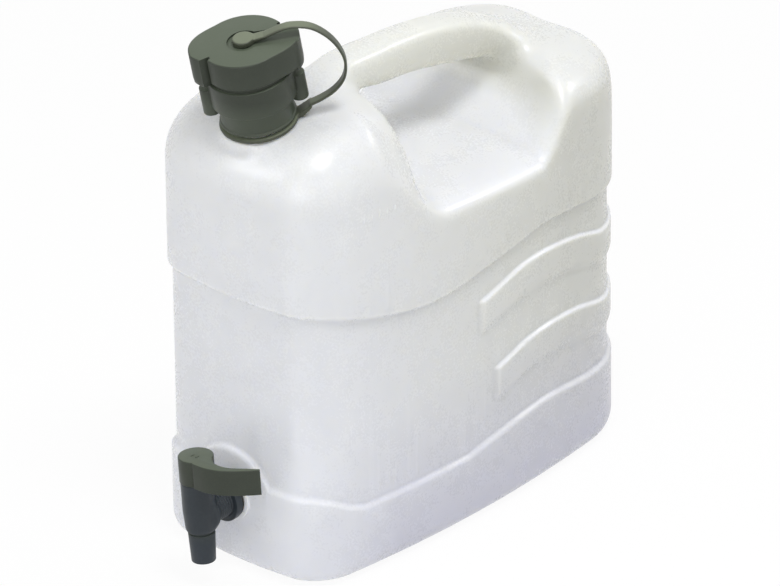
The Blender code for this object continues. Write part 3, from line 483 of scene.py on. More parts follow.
def squared(steps, rounding):
    """Points round a shape between a circle, for a rounding of 2, and a square."""
    turns = np.linspace(0, tau, steps, endpoint=False)
    sides = np.column_stack([np.cos(turns), np.sin(turns)])
    return np.sign(sides) * np.abs(sides) ** (2 / rounding)


# Solids

def link(obj):
    bpy.context.scene.collection.objects.link(obj)
    return obj


def solid(name, bm, matrix=None):
    """An object from a bmesh, moved by the matrix, with its faces outward."""
    bmesh.ops.recalc_face_normals(bm, faces=bm.faces)
    mesh = bpy.data.meshes.new(name)
    bm.to_mesh(mesh)
    bm.free()
    if matrix is not None:
        mesh.transform(matrix)
    return link(bpy.data.objects.new(name, mesh))


def settle(obj):
    """Turns what the modifiers show into the mesh itself."""
    graph = bpy.context.evaluated_depsgraph_get()
    mesh = bpy.data.meshes.new_from_object(obj.evaluated_get(graph))
    obj.modifiers.clear()
    obj.data = mesh
    return obj


def combine(obj, other, operation):
    modifier = obj.modifiers.new("combine", "BOOLEAN")
    modifier.object = other
    modifier.operation = operation
    modifier.solver = "MANIFOLD"
    settle(obj)
    bpy.data.objects.remove(other, do_unlink=True)
    return obj


def joined(obj, bm, matrix=None):
    return combine(obj, solid("joined", bm, matrix), "UNION")


def cut(obj, bm, matrix=None):
    return combine(obj, solid("cutter", bm, matrix), "DIFFERENCE")


def fused(name, pieces, voxel):
    """One even skin round all the pieces, which it takes up."""
    both = bmesh.new()
    for piece in pieces:
        both.from_mesh(piece.data)
        bpy.data.objects.remove(piece, do_unlink=True)
    whole = solid(name, both)
    modifier = whole.modifiers.new("fuse", "REMESH")
    modifier.mode = "VOXEL"
    modifier.voxel_size = voxel
    return settle(whole)


def thinned(obj, share):
    modifier = obj.modifiers.new("thin", "DECIMATE")
    modifier.ratio = share
    return settle(obj)


def soften(obj, angle):
    obj.data.shade_smooth()
    obj.data.set_sharp_from_angle(angle=radians(angle))
    return obj


def quads(low, high):
    return zip(low, low[1:] + low[:1], high[1:] + high[:1], high)


def loft(rings, tube=False):
    """A skin over rings of points, closed at both ends or, as a tube, back to the first ring."""
    bm = bmesh.new()
    loops = [[bm.verts.new(point) for point in ring] for ring in rings]
    for low, high in zip(loops, loops[1:] + (loops[:1] if tube else [])):
        for corners in quads(low, high):
            bm.faces.new(corners)
    if not tube:
        bm.faces.new(loops[0][::-1])
        bm.faces.new(loops[-1])
    return bm


def turned(profile, steps=TURNED_STEPS, tube=False):
    """A shape turned round Z from (radius, height) points."""
    angles = np.linspace(0, tau, steps, endpoint=False)
    return loft([[(*polar(r, a), z) for a in angles] for r, z in profile], tube)


def spindle(rims, edge=0, steps=TURNED_STEPS, fine=4):
    """A solid turned round Z from the rims between its two flat ends, with their corners rounded."""
    return turned(rounded([(CORE, rims[0][1]), *rims, (CORE, rims[-1][1])], edge, fine), steps)


def washer_shape(radius, inner, low, high, edge):
    """A ring about Z with its outer corners rounded."""
    return turned(rounded(((inner, low), (radius, low), (radius, high), (inner, high)), edge), tube=True)


def cylinder(radius, low, high, steps=TURNED_STEPS):
    return turned(((radius, low), (radius, high)), steps)


def rounded(points, radius, steps=4):
    """Rounds the corners between the end points, each by its own third value if it has one."""
    out = [points[0][:2]]
    for around in zip(points, points[1:], points[2:]):
        size = around[1][2] if len(around[1]) > 2 else radius
        before, here, after = (np.array(point[:2]) for point in around)
        lengths = [np.linalg.norm(end - here) for end in (before, after)]
        size = min(size, 0.45 * min(lengths))
        start, end = (here + (side - here) * size / length for side, length in zip((before, after), lengths))
        for t in np.linspace(0, 1, steps + 1) if size else (0,):
            out.append((1 - t) ** 2 * start + 2 * t * (1 - t) * here + t**2 * end)
    return out + [points[-1][:2]]


def stacked(outline, levels):
    """A solid from an outline, as drawn in at each (height, inset) level."""
    return loft([[(x, y, z) for x, y in outline(inset)] for z, inset in levels])


def extruded(outline, low, high):
    return stacked(lambda inset: outline, ((low, 0), (high, 0)))


def edge_levels(height, edge, steps, side=1):
    """Levels of the rounded edge under a top face or, with side -1, over a bottom face."""
    turns = np.linspace(0, pi / 2, steps)
    levels = [(height - side * edge * (1 - sin(t)), edge * (1 - cos(t))) for t in turns]
    return levels[::side]


NECK = Matrix.Translation((0, NECK_Y, NECK_Z)) @ Matrix.Rotation(NECK_TILT, 4, "X")
PORT = Matrix.Translation((0, 0, TAP_Z)) @ Matrix.Rotation(TAP_LEAN, 4, "Y")
STUB = PORT @ Matrix.Rotation(-pi / 2, 4, "X")
TAP = PORT @ Matrix.Translation((0, TAP_Y, 0))
STRAP = NECK @ Matrix.Rotation(STRAP_ANGLE, 4, "Z")


# Can

def stations():
    """Columns of the rings: length along the outline, spine place and bend of the way between."""
    wall = recess_profile()
    flared = np.linspace(*RECESS_FLARE, len(wall))
    turns = np.linspace(SCOOP_FOOT_ANGLE, SCOOP_ANGLE, 7)
    scoop = SCOOP_START + SCOOP_LENGTH * (np.sin(turns) - sin(SCOOP_FOOT_ANGLE))
    scoop_sides = np.linspace(*SCOOP_SIDE, len(turns))
    ribs = [start + side * RIB_END / 2 for start, _ in RIBS for side in (-1, 1)]
    level = (RECESS_FLARE[1], SCOOP_SIDE[0])
    sides = sorted([*np.linspace(*level, 5)[1:-1]] + ribs)
    front = [(s, FRONT_SPINE, 1) for s in np.linspace(0, FRONT_FLAT, 9)]
    corner = [(FRONT_FLAT + FRONT_ARC * t, FRONT_SPINE, 1) for t in np.linspace(0, 1, 6)[1:]]
    block = [(side_place(FRONT_Y + y), FRONT_Y + c, 1) for y, c in SHOULDER_SIDE]
    recess = [(side_place(y), c, RECESS_BEND) for y, c in zip(flared, wall)]
    floor = [(side_place(y), np.interp(y, level, (wall[-1], SCOOP_START)), 1) for y in sides]
    rear = [(side_place(y), c, SCOOP_BEND) for y, c in zip(scoop_sides, scoop)]
    lip = [(side_place(REAR_LIP_Y), (scoop[-1] + REAR_SPINE) / 2, 1), (SIDE_END, REAR_SPINE, 1)]
    back = [(SIDE_END + REAR_ARC * t, REAR_SPINE, 1) for t in np.linspace(0, 1, 6)[1:]]
    end = [(REAR_START + REAR_FLAT * t, REAR_SPINE, 1) for t in np.linspace(0, 1, 5)[1:]]
    table = np.array(front + corner + block + recess + floor + rear + lip + back + end)
    places = np.linspace(0, len(table) - 1, (len(table) - 1) * BODY_DENSITY + 1)
    return [np.interp(places, range(len(table)), column) for column in table.T]


def body_rows():
    """Rings of the can's right half from the base up over the top to its spine."""
    lengths, spine, bend = stations()
    plan = outline_points(lengths)
    normals = outline_normals(lengths)
    x, y = plan.T
    rows = []

    def ring(offset, height):
        points = plan + normals * np.reshape(offset, (-1, 1))
        rows.append(np.column_stack([points, height + 0 * x]))

    def step(line, height, out, inwards=False, count=8):
        for t in np.linspace(0, 1, count):
            share = float(eased(t, 0.12, 0.88))
            ring(out * (1 - share if inwards else share), line + (t - 0.5) * height)

    for turn in np.linspace(0, pi / 2, 10):
        ring(BAND_OUTSET - BASE_FILLET * (1 - sin(turn)), BASE_FILLET * (1 - cos(turn)))
    step(low_line(x, y), STEP_HEIGHT, BAND_OUTSET, True, 9)
    for start, line in RIBS:
        present = eased(y, start - RIB_END / 2, start + RIB_END / 2)
        top = smooth_line(line, y / HALF_LENGTH)
        step(top - RIB_HEIGHT, RIB_FOOT_STEP * present, RIB_OUT * present)
        step(top, RIB_TOP_STEP * present, RIB_OUT * present, True)
    step(smooth_line(SEAM_LINE, y / HALF_LENGTH), STEP_HEIGHT, BAND_OUTSET, count=9)

    behind = eased(y, *REAR_EDGE_TURN)
    in_recess = eased(y, *RECESS_FLARE) * (1 - behind)
    before = 1 - in_recess - behind
    lip_edge = FLOOR_Z - FLOOR_CROWN - FLOOR_FALL * (y - RECESS_WALL_Y) - FLOOR_LIP_FILLET
    edge = SHOULDER_EDGE * before + lip_edge * in_recess + REAR_EDGE * behind
    fillet = SHOULDER_FILLET * before + FLOOR_LIP_FILLET * in_recess + REAR_FILLET * behind
    rim_x, rim_y = (plan + normals * BAND_OUTSET).T
    reach = np.hypot(rim_x, rim_y - spine)

    def top_ring(inset, rise):
        left = 1 - inset / reach
        px = rim_x * left
        py = spine + (rim_y - spine) * left**bend
        rows.append(np.column_stack([px, py, edge + (top_height(spine, px, py) - edge) * rise]))

    for turn in np.linspace(0, pi / 2, 13):
        top_ring(fillet * (1 - cos(turn)), sin(turn))
    for share in np.linspace(0, 1, 13)[1:]:
        top_ring(fillet + (reach - fillet) * share, 1)
    return rows


def body_skin():
    """Both halves of the can's body as one closed skin."""
    bm = bmesh.new()
    known = {}

    def vertex(point):
        key = tuple(round(v * 2e5) for v in point)
        if key not in known:
            known[key] = bm.verts.new(point)
        return known[key]

    loops = []
    for row in body_rows():
        mirrored = row[-2:0:-1] * (-1, 1, 1)
        loops.append([vertex(point) for point in np.concatenate([row, mirrored])])
    for low, high in zip(loops, loops[1:]):
        for corners in quads(low, high):
            corners = list(dict.fromkeys(corners))
            if len(corners) > 2 and not bm.faces.get(corners):
                bm.faces.new(corners)
    bm.faces.new(list(dict.fromkeys(loops[0])))
    return bm


def handle_skin():
    section = squared(64, HANDLE_ROUNDING)
    rings = []
    for share in np.linspace(HANDLE_TOP[0][0], HANDLE_TOP[-1][0], 90):
        top, under, wide = (smooth_line(line, share)
                            for line in (HANDLE_TOP, HANDLE_UNDERSIDE, HANDLE_HALF_WIDTH))
        rings.append([(wide * a, share * HALF_LENGTH, (top + under) / 2 + (top - under) / 2 * b)
                      for a, b in section])
    return loft(rings)


def vectors(mesh, kind="co"):
    """The places or, as "normal", the normals of a mesh's points."""
    flat = np.empty(len(mesh.vertices) * 3)
    mesh.vertices.foreach_get(kind, flat)
    return flat.reshape(-1, 3)


def place(mesh, points):
    mesh.vertices.foreach_set("co", points.ravel())
    mesh.update()


def tree_of(obj):
    return BVHTree.FromObject(obj, bpy.context.evaluated_depsgraph_get())


def relax(mesh, points, weights, rounds):
    """Moves each point towards the middle of its neighbours by its weight."""
    edges = np.empty(len(mesh.edges) * 2, int)
    mesh.edges.foreach_get("vertices", edges)
    a, b = edges.reshape(-1, 2).T
    count = len(points)
    degree = np.bincount(a, minlength=count) + np.bincount(b, minlength=count)
    step = (weights / np.maximum(degree, 1))[:, None]
    for _ in range(rounds):
        around = np.stack([np.bincount(a, points[b, k], count) + np.bincount(b, points[a, k], count)
                           for k in range(3)], axis=1)
        points = points + step * (around - points * degree[:, None])
    return points


def even(mesh, points, rounds):
    """Evens out the small steps that fusing leaves."""
    place(mesh, relax(mesh, points, np.full(len(points), EVEN_WEIGHT), rounds))


def can_shell():
    """Body, grip and neck pad as one skin, with the joints between them blended."""
    pad = spindle(((NECK_PAD_RADIUS, -NECK_ROOT), (NECK_PAD_RADIUS, -GAP)))
    skins = [solid("body", body_skin()), solid("grip", handle_skin()), solid("pad", pad, NECK)]
    trees = [tree_of(skin) for skin in skins]
    shell = fused("can_shell", skins, SHELL_VOXEL)
    mesh = shell.data
    found = [[tree.find_nearest(p) for tree in trees] for p in vectors(mesh)]
    away = np.array([[distance for *_, distance in row] for row in found])
    points = np.array([row[k][0] for row, k in zip(found, np.argmin(away, axis=1))])
    to_body, to_grip, to_pad = away.T
    rear = eased(points[:, 1], *REAR_BLEND)
    reach = BLEND_REACH + (REAR_BLEND_REACH - BLEND_REACH) * rear
    by_grip = 1 - eased(np.maximum(to_body, to_grip) / reach, 0.2, 1)
    points = relax(mesh, points, BLEND_WEIGHT * by_grip, BLEND_ROUNDS)
    points = relax(mesh, points, BLEND_WEIGHT * by_grip * rear, BLEND_ROUNDS)
    by_pad = 1 - eased(np.maximum(to_body, to_pad), PAD_BLEND / 4, PAD_BLEND)
    points = relax(mesh, points, BLEND_WEIGHT * by_pad, PAD_ROUNDS)
    top = eased(points[:, 2], *TOP_EVEN) * eased(to_pad, 0, PAD_BLEND / 2)
    points = relax(mesh, points, EVEN_WEIGHT * top, TOP_ROUNDS)
    place(mesh, points * (SIDE_FIT, 1, 1))
    return shell


def with_ticks(shell):
    """Adds the row of raised ticks on the right side."""
    tree = tree_of(shell)
    turns = np.linspace(0, tau, 12, endpoint=False)
    for k, length in enumerate(TICK_LENGTHS):
        y = TICK_FIRST_Y + TICK_STEP * k
        rings = []
        for t in np.linspace(-1, 1, 9):
            full = sqrt(max(0.04, 1 - t**4))
            z = TICK_Z + t * length / 2
            x = tree.ray_cast(Vector((2 * BODY_WIDTH, y, z)), Vector((-1, 0, 0)))[0].x
            out = [2 * full * max(0, cos(a)) - 1 - (cos(a) < 0) for a in turns]
            rings.append([(x + TICK_RISE * o, y + TICK_WIDTH / 2 * full * sin(a), z)
                          for o, a in zip(out, turns)])
        joined(shell, loft(rings))
    return shell


def with_hollow(shell):
    """Adds the inside skin, a wall's thickness in."""
    inner = thinned(link(bpy.data.objects.new("inside", shell.data.copy())), HOLLOW_SHARE)
    place(inner.data, vectors(inner.data) - vectors(inner.data, "normal") * WALL)
    inner.data.flip_normals()
    thinned(shell, SHELL_SHARE)
    both = bmesh.new()
    both.from_mesh(shell.data)
    both.from_mesh(inner.data)
    both.to_mesh(shell.data)
    both.free()
    bpy.data.objects.remove(inner, do_unlink=True)
    return shell


def helix(root, crest, low, pitch, turns, foot, tip, steps=72):
    """A thread's ridge about Z that fades out at its ends."""
    rings = []
    count = int(steps * turns)
    fading = 0.08 * count
    inside = root - THREAD_SINK
    for i in range(count + 1):
        angle = tau * turns * i / count
        z = low + pitch * turns * i / count
        out = root + (crest - root) * min(1, i / fading, (count - i) / fading)
        section = ((inside, -foot / 2), (root, -foot / 2), (out, -tip / 2), (out, tip / 2), (root, foot / 2),
                   (inside, foot / 2))
        rings.append([(*polar(r, angle), z + dz) for r, dz in section])
    return loft(rings)


def can():
    """The hollow can with its threaded neck and the port for the tap."""
    shell = with_hollow(can_shell())
    neck = solid("neck", spindle(((NECK_RADIUS, -NECK_ROOT, 0), (NECK_RADIUS, NECK_HEIGHT)), NECK_EDGE), NECK)
    joined(neck, helix(NECK_RADIUS, CAP_BORE - GAP, **NECK_THREAD), NECK)
    combine(shell, neck, "UNION")
    joined(shell, cylinder(PORT_BOSS_RADIUS, PORT_FACE_Y, PORT_INNER_Y), STUB)
    cut(shell, cylinder(NECK_BORE, -2 * NECK_ROOT, NECK_HEIGHT + PAST), NECK)
    cut(shell, cylinder(PORT_BORE, PORT_FACE_Y - PAST, PORT_INNER_Y + PAST), STUB)
    return soften(with_ticks(shell), BODY_SHARP)


# Cap and strap

def drum_outline(inset):
    """Plan of the cap's grip with its two finger wings, drawn in by the inset."""
    points = []
    for half in (0, pi):
        swelling = np.linspace(WING_START, WING_END - WING_FACE, 96) + half
        points += [polar(DRUM_RADIUS + wing_reach(a) - inset, a) for a in swelling]
        notch = DRUM_RADIUS - WING_NOTCH_DEPTH - inset
        points += [polar(notch, half + WING_END + WING_FACE), polar(notch, half + WING_NOTCH)]
        plain = np.linspace(WING_NOTCH + 2 * WING_FACE, WING_START + pi, 48)[:-1] + half
        points += [polar(DRUM_RADIUS - inset, a) for a in plain]
    return points


def cap():
    """The screw cap with its skirt, collar, grip, wings, posts, pocket and stud."""
    rim = CAP_SKIRT_RADIUS + CAP_RIM_FLARE
    edge = SMALL_EDGE
    skirt = spindle(((rim, CAP_FOOT, FINE_EDGE), (rim, CAP_FOOT + CAP_RIM_FLARE, FINE_EDGE),
                     (CAP_SKIRT_RADIUS, CAP_FOOT + 2 * CAP_RIM_FLARE, 0),
                     (CAP_SKIRT_RADIUS, COLLAR_FOOT, COLLAR_FOOT_EDGE), (COLLAR_RADIUS, COLLAR_FOOT),
                     (COLLAR_RADIUS, COLLAR_TOP), (SLOT_RADIUS, COLLAR_TOP, FINE_EDGE),
                     (SLOT_RADIUS, DRUM_FOOT + SINK, 0)), edge)
    body = solid("cap", skirt, NECK)
    levels = [(DRUM_FOOT, edge / 2), (DRUM_FOOT + edge / 2, 0), *edge_levels(CAP_TOP, CAP_EDGE, 6)]
    joined(body, stacked(drum_outline, levels), NECK)
    wing_levels = ((WING_FOOT, edge), (WING_FOOT + edge, edge / 3), (DRUM_FOOT + SINK, edge / 3))
    for half, (offset, foot) in zip((0, pi), POSTS):
        angles = np.linspace(WING_SKIRT_START, WING_END - WING_FACE, 60) + half
        wing = [[(*polar(DRUM_RADIUS + wing_reach(a) - inset, a), z) for a in angles]
                + [(*polar(SLOT_RADIUS - SINK, a), z) for a in (angles[-1], angles[0])]
                for z, inset in wing_levels]
        joined(body, loft(wing), NECK)
        post = spindle(((POST_RADIUS, foot, POST_TIP), (POST_RADIUS, POST_TOP, POST_TIP / 2)), 0, 48, 6)
        joined(body, post, NECK @ Matrix.Translation((*polar(offset, POST_ANGLE + half), 0)))
    ceiling = NECK_HEIGHT + GAP + GASKET_THICKNESS + GAP
    cut(body, turned(((CAP_BORE, CAP_FOOT - PAST), (CAP_BORE, ceiling), (GASKET_HOLE, ceiling),
                      (GASKET_HOLE, ceiling + SEAT_WALL), (CAP_HOLLOW_RADIUS, ceiling + SEAT_WALL),
                      (CAP_HOLLOW_RADIUS, CAP_TOP - CAP_ROOF - SINK),
                      (CAP_HOLLOW_RADIUS - SINK, CAP_TOP - CAP_ROOF))), NECK)
    floor = CAP_TOP - POCKET_DEPTH
    cut(body, cylinder(POCKET_RADIUS, floor, CAP_TOP + PAST), NECK)
    half = POCKET_GROOVE / 2
    reach = COLLAR_RADIUS + WING_REACH + PAST
    cut(body, extruded(((0, -half), (reach, -half), (reach, half), (0, half)), floor, CAP_TOP + PAST), STRAP)
    head = floor + EYELET_SOCKET
    joined(body, spindle(((STUD_RADIUS, floor - SINK), (STUD_RADIUS, head)), edge, 72), NECK)
    return soften(body, SHARP)


def tether():
    """Ring, strap and eyelet as the one moulding they are."""
    inner = NECK_RADIUS + GAP
    ring = washer_shape(RING_RADIUS, inner, 0, RING_THICKNESS, SMALL_EDGE)
    line, along = even_line(STRAP_ROUTE, 90)
    half = STRAP_THICKNESS / 2
    section = squared(28, STRAP_ROUNDING) * (STRAP_WIDTH / 2, half)
    strap = [[(x - dz * up, side, z + dx * up) for side, up in section]
             for (x, z), (dx, dz) in zip(line, along)]
    low = CAP_TOP - POCKET_DEPTH + GAP
    top = low + EYELET_THICKNESS
    bore = STUD_RADIUS + GAP
    eyelet = spindle(((bore, low + EYELET_SOCKET), (bore, low), (EYELET_RADIUS, low, EYELET_FOOT_EDGE),
                      (EYELET_RADIUS, top, EYELET_EDGE)), 0, 96)
    (start_x, start_z), (end_x, end_z) = STRAP_ROUTE[0], STRAP_ROUTE[-1]
    root = EYELET_RADIUS - 2 * SMALL_EDGE
    button_tab = ((root, low + SMALL_EDGE / 2), (start_x + STRAP_ROOT, start_z - half + TAB_LIFT),
                  (start_x + STRAP_ROOT, start_z + half), (root, top - SMALL_EDGE))
    ring_tab = ((inner + SINK / 2, 0), (RING_RADIUS + SINK, 0), (end_x + STRAP_ROOT, end_z - half),
                (end_x + STRAP_ROOT, end_z + half), (RING_RADIUS, RING_THICKNESS + SMALL_EDGE),
                (inner + SINK / 2, RING_THICKNESS))
    tabs = [loft([[(x, side * width / 2, z) for x, z in outline] for side in (-1, 1)])
            for outline, width in ((ring_tab, RING_TAB_WIDTH), (button_tab, STRAP_WIDTH))]
    pieces = [solid("piece", bm, NECK) for bm in (ring, eyelet)]
    pieces += [solid("piece", bm, STRAP) for bm in (loft(strap), *tabs)]
    whole = fused("tether", pieces, TETHER_VOXEL)
    even(whole.data, vectors(whole.data), TETHER_ROUNDS)
    whole.data.shade_smooth()
    return whole


# Drain tap

def barrel():
    """The tap's barrel, the boss behind it and the threaded stub."""
    foot = BARREL_FOOT - TAP_Z
    top = BARREL_TOP - TAP_Z
    tube = spindle(((BARREL_FOOT_RADIUS, foot, SMALL_EDGE), (BARREL_RADIUS, foot + BARREL_TAPER),
                    (BARREL_RADIUS, top, FINE_EDGE)))
    end = TAP_Y + TAP_BOSS_REAR
    boss = spindle(((TAP_BOSS_RADIUS, TAP_Y + SMALL_EDGE), (TAP_BOSS_RADIUS, end)), TAP_BOSS_EDGE)
    body = fused("barrel", [solid("tube", tube, TAP), solid("boss", boss, STUB)], BARREL_VOXEL)
    points = vectors(body.data)
    to_tap = TAP.inverted()
    x, y, z = np.array(to_tap.to_3x3()) @ points.T + np.array(to_tap.translation)[:, None]
    to_barrel = np.abs(np.hypot(x, y) - BARREL_RADIUS)
    to_boss = np.minimum(np.abs(np.hypot(x, z) - TAP_BOSS_RADIUS), np.abs(y - SMALL_EDGE))
    joint = 1 - eased(np.maximum(to_barrel, to_boss), *BARREL_BLEND)
    points = relax(body.data, points, BLEND_WEIGHT * joint, BARREL_BLEND_ROUNDS)
    even(body.data, points, BARREL_ROUNDS)
    root = STUB_RADIUS - STUB_THREAD_DEPTH
    stub = solid("stub", spindle(((root, TAP_Y), (root, STUB_END_Y, SMALL_EDGE))), STUB)
    turns = (STUB_END_Y - end - 3 * STUB_THREAD_INSET) / STUB_THREAD["pitch"]
    joined(stub, helix(root, STUB_RADIUS, end + STUB_THREAD_INSET, turns=turns, **STUB_THREAD), STUB)
    combine(body, stub, "UNION")
    low, high = PLUG_FOOT_RADIUS + GAP, PLUG_TOP_RADIUS + GAP
    cut(body, turned(((low, foot - PAST), (low, foot), (high, top), (high, top + PAST))), TAP)
    cut(body, cylinder(STUB_BORE, TAP_Y, STUB_END_Y + PAST, 96), STUB)
    return soften(body, SHARP)


def stub_ring(name, radius, thickness, end, edge):
    """A ring round the stub, with its rear face at the end."""
    ring = washer_shape(radius, STUB_RADIUS + GAP, end - thickness, end, edge)
    return soften(solid(name, ring, STUB), SHARP)


def lock_nut():
    end = PORT_FACE_Y - GAP - TAP_GASKET_THICKNESS - GAP
    return stub_ring("lock_nut", LOCK_NUT_RADIUS, LOCK_NUT_THICKNESS, end, LOCK_NUT_EDGE)


def washer():
    end = PORT_FACE_Y - GAP
    return stub_ring("tap_washer", TAP_GASKET_RADIUS, TAP_GASKET_THICKNESS, end, TAP_GASKET_EDGE)


def lever_outline(inset):
    """Plan of the lever, drawn in by the inset: the head's arc, then the blade's two edges."""
    first, last = (atan2(y, x) for x, y in (LEVER_REAR_EDGE[0], LEVER_FRONT_EDGE[-1]))
    outline = [polar(LEVER_HEAD_RADIUS - inset, a) for a in np.linspace(last + tau, first, 110)]
    for edge, kept in ((LEVER_REAR_EDGE, slice(1, None)), (LEVER_FRONT_EDGE, slice(None, -1))):
        line, along = even_line(edge, 40)
        inward = np.column_stack([along[:, 1], -along[:, 0]])
        outline += [tuple(point) for point in (line + inward * inset)[kept]]
    return outline


def plug():
    """The tap's turning part: spout, tapered plug and lever."""
    foot = BARREL_FOOT - TAP_Z
    top = LEVER_FOOT - TAP_Z
    spout = SPOUT_FOOT - TAP_Z
    neck = foot - SPOUT_NECK
    shape = spindle(((SPOUT_FOOT_RADIUS, spout, SPOUT_EDGE), (SPOUT_TOP_RADIUS, neck, FINE_EDGE),
                     (PLUG_FOOT_RADIUS - GAP, neck), (PLUG_FOOT_RADIUS, foot), (PLUG_TOP_RADIUS, top - GAP),
                     (PLUG_TOP_RADIUS, top + SINK)))
    body = solid("tap_lever", shape, TAP)
    height = LEVER_TOP - TAP_Z
    levels = edge_levels(top, LEVER_EDGE / 2, 5, -1) + edge_levels(height, LEVER_EDGE, 5)
    joined(body, stacked(lever_outline, levels), TAP)
    for x in MARK_PLACES:
        corners = [(x + side * MARK_WIDTH / 2, MARK_Y + along * MARK_LENGTH / 2)
                   for side, along in ((-1, -1), (0, -MARK_POINT), (1, -1), (1, 1), (0, MARK_POINT), (-1, 1))]
        joined(body, extruded(corners, height - SINK, height + MARK_RISE), TAP)
    cut(body, cylinder(SPOUT_BORE, spout - PAST, SPOUT_BORE_TOP - TAP_Z, 96), TAP)
    across = TAP @ Matrix.Rotation(-pi / 2, 4, "Y")
    cut(body, cylinder(PLUG_PORT_RADIUS, 0, 2 * PLUG_TOP_RADIUS, 64), across)
    return soften(body, SHARP)


# Materials

class Nodes:
    """Adds shader nodes to a tree and joins them."""

    def __init__(self, tree):
        self.tree = tree

    def add(self, kind, **inputs):
        node = self.tree.nodes.new(kind)
        self.set(node, **inputs)
        return node

    def set(self, node, **inputs):
        for key, value in inputs.items():
            self.feed(node, key.replace("_", " "), value)

    def feed(self, node, key, value):
        socket = node.inputs[key]
        if isinstance(value, bpy.types.NodeSocket):
            self.tree.links.new(value, socket)
        else:
            socket.default_value = value

    def math(self, operation, a, b):
        node = self.tree.nodes.new("ShaderNodeMath")
        node.operation = operation
        self.feed(node, 0, a)
        self.feed(node, 1, b)
        return node.outputs[0]

    def seen(self):
        """1 for what is looked at, directly, mirrored or through something, and 0 for other light."""
        path = self.add("ShaderNodeLightPath").outputs
        direct, mirrored, through = (path[f"Is {kind} Ray"] for kind in ("Camera", "Glossy", "Transmission"))
        return self.math("MAXIMUM", self.math("MAXIMUM", direct, mirrored), through)


class Finish(Nodes):
    """A material with its patterns in object space."""

    def __init__(self, name):
        self.material = bpy.data.materials.new(name)
        self.material.use_nodes = True
        super().__init__(self.material.node_tree)
        self.shader = self.tree.nodes["Principled BSDF"]
        self.space = self.add("ShaderNodeTexCoord").outputs["Object"]

    def noise(self, scale, detail, roughness=0.5):
        return self.add("ShaderNodeTexNoise", Vector=self.space, Scale=scale, Detail=detail,
                        Roughness=roughness).outputs["Fac"]

    def axes(self, vector):
        return self.add("ShaderNodeSeparateXYZ", Vector=vector).outputs

    def spread(self, value, low, high, start=0.3, end=0.7):
        """From low to high while the value goes from start to end."""
        return self.add("ShaderNodeMapRange", Value=value, From_Min=start, From_Max=end, To_Min=low,
                        To_Max=high).outputs[0]

    def near(self, place, reach):
        node = self.tree.nodes.new("ShaderNodeVectorMath")
        node.operation = "DISTANCE"
        self.feed(node, 0, self.space)
        self.feed(node, 1, place)
        return self.spread(node.outputs["Value"], 1, 0, reach * 0.35, reach)

    def product(self, *values):
        total = values[0]
        for value in values[1:]:
            total = self.math("MULTIPLY", total, value)
        return total

    def mix(self, share, a, b):
        """A colour between two, which are sockets or (red, green, blue)."""
        node = self.tree.nodes.new("ShaderNodeMix")
        node.data_type = "RGBA"
        self.feed(node, 0, share)
        for key, colour in ((6, a), (7, b)):
            self.feed(node, key, (*colour, 1) if isinstance(colour, tuple) else colour)
        return node.outputs[2]

    def layered(self, tone, layers):
        """The tone under one colour after another, each with its share."""
        for share, colour in layers:
            tone = self.mix(share, tone, colour)
        return tone

    def bump(self, height, distance, strength, **under):
        return self.add("ShaderNodeBump", Height=height, Distance=distance, Strength=strength,
                        **under).outputs[0]


def natural_plastic():
    """Waxy translucent white, warmer towards the top and cooler towards the foot, with painted shade on the
    steep sides towards the rear and low down, and painted light on the recess floor and round the tap's port.
    """
    f = Finish("natural_hdpe")
    _, y, z = f.axes(f.space)
    shape = f.add("ShaderNodeNewGeometry").outputs
    *_, upward = f.axes(shape["Normal"])
    level, steep = (f.spread(upward, *ends, 0.3, 0.75) for ends in ((0, 1), (1, 0)))
    cloud = f.spread(f.noise(9, 3), 0, 1)
    tone = f.mix(f.spread(z, 0, 1, 0.02, 0.27), f.mix(cloud, *COOL_WHITE), f.mix(cloud, *WARM_WHITE))
    tone = f.layered(tone, (
        (f.spread(f.noise(70, 4, 0.6), 0, 0.2), SPECK_WHITE),
        (f.product(f.spread(y, 0, 1, -0.10, 0.02), f.spread(z, 0, 0.75, 0.05, 0.20)), REAR_CREAM),
        # painted light on the level faces of the recess floor
        (f.product(f.spread(y, 0, 1, -0.06, -0.03), f.spread(z, 1, 0, 0.240, 0.256), level), RECESS_PAINTED_LIGHT),
        (f.product(f.spread(y, 0, 1, -0.08, -0.04), f.spread(z, 0, 0.5, 0.262, 0.285)), GRIP_CREAM),
        # painted shade on the steep sides, growing towards the rear
        (f.product(f.spread(y, 0, 0.80, -0.13, 0.08), steep), SIDE_PAINTED_SHADE),
        # painted shade low down, darker and bluer towards the foot
        (f.product(f.spread(y, 0, 1, -0.16, -0.08), f.spread(z, 0.80, 0, 0.015, 0.11)), FOOT_PAINTED_SHADE),
        # painted light round the tap's port
        (f.near(PORT_LIGHT_PLACE, PORT_LIGHT_REACH), PORT_PAINTED_LIGHT),
        (f.spread(shape["Pointiness"], 0, 0.35, 0.52, 0.60), EDGE_WHITE)))
    rough = f.math("ADD", f.spread(f.noise(38, 4), 0.24, 0.31), f.spread(f.noise(700, 2), -0.02, 0.03))
    wave = f.bump(f.noise(26, 2, 0.4), 0.0012, 0.35)
    peel = f.bump(f.noise(420, 2), 0.00003, 0.6, Normal=wave)
    f.set(f.shader, Base_Color=tone, Roughness=rough, Normal=peel, IOR=1.5, Subsurface_Weight=0.85,
          Subsurface_Radius=(1.0, 0.93, 0.75), Subsurface_Scale=0.008)
    return f.material


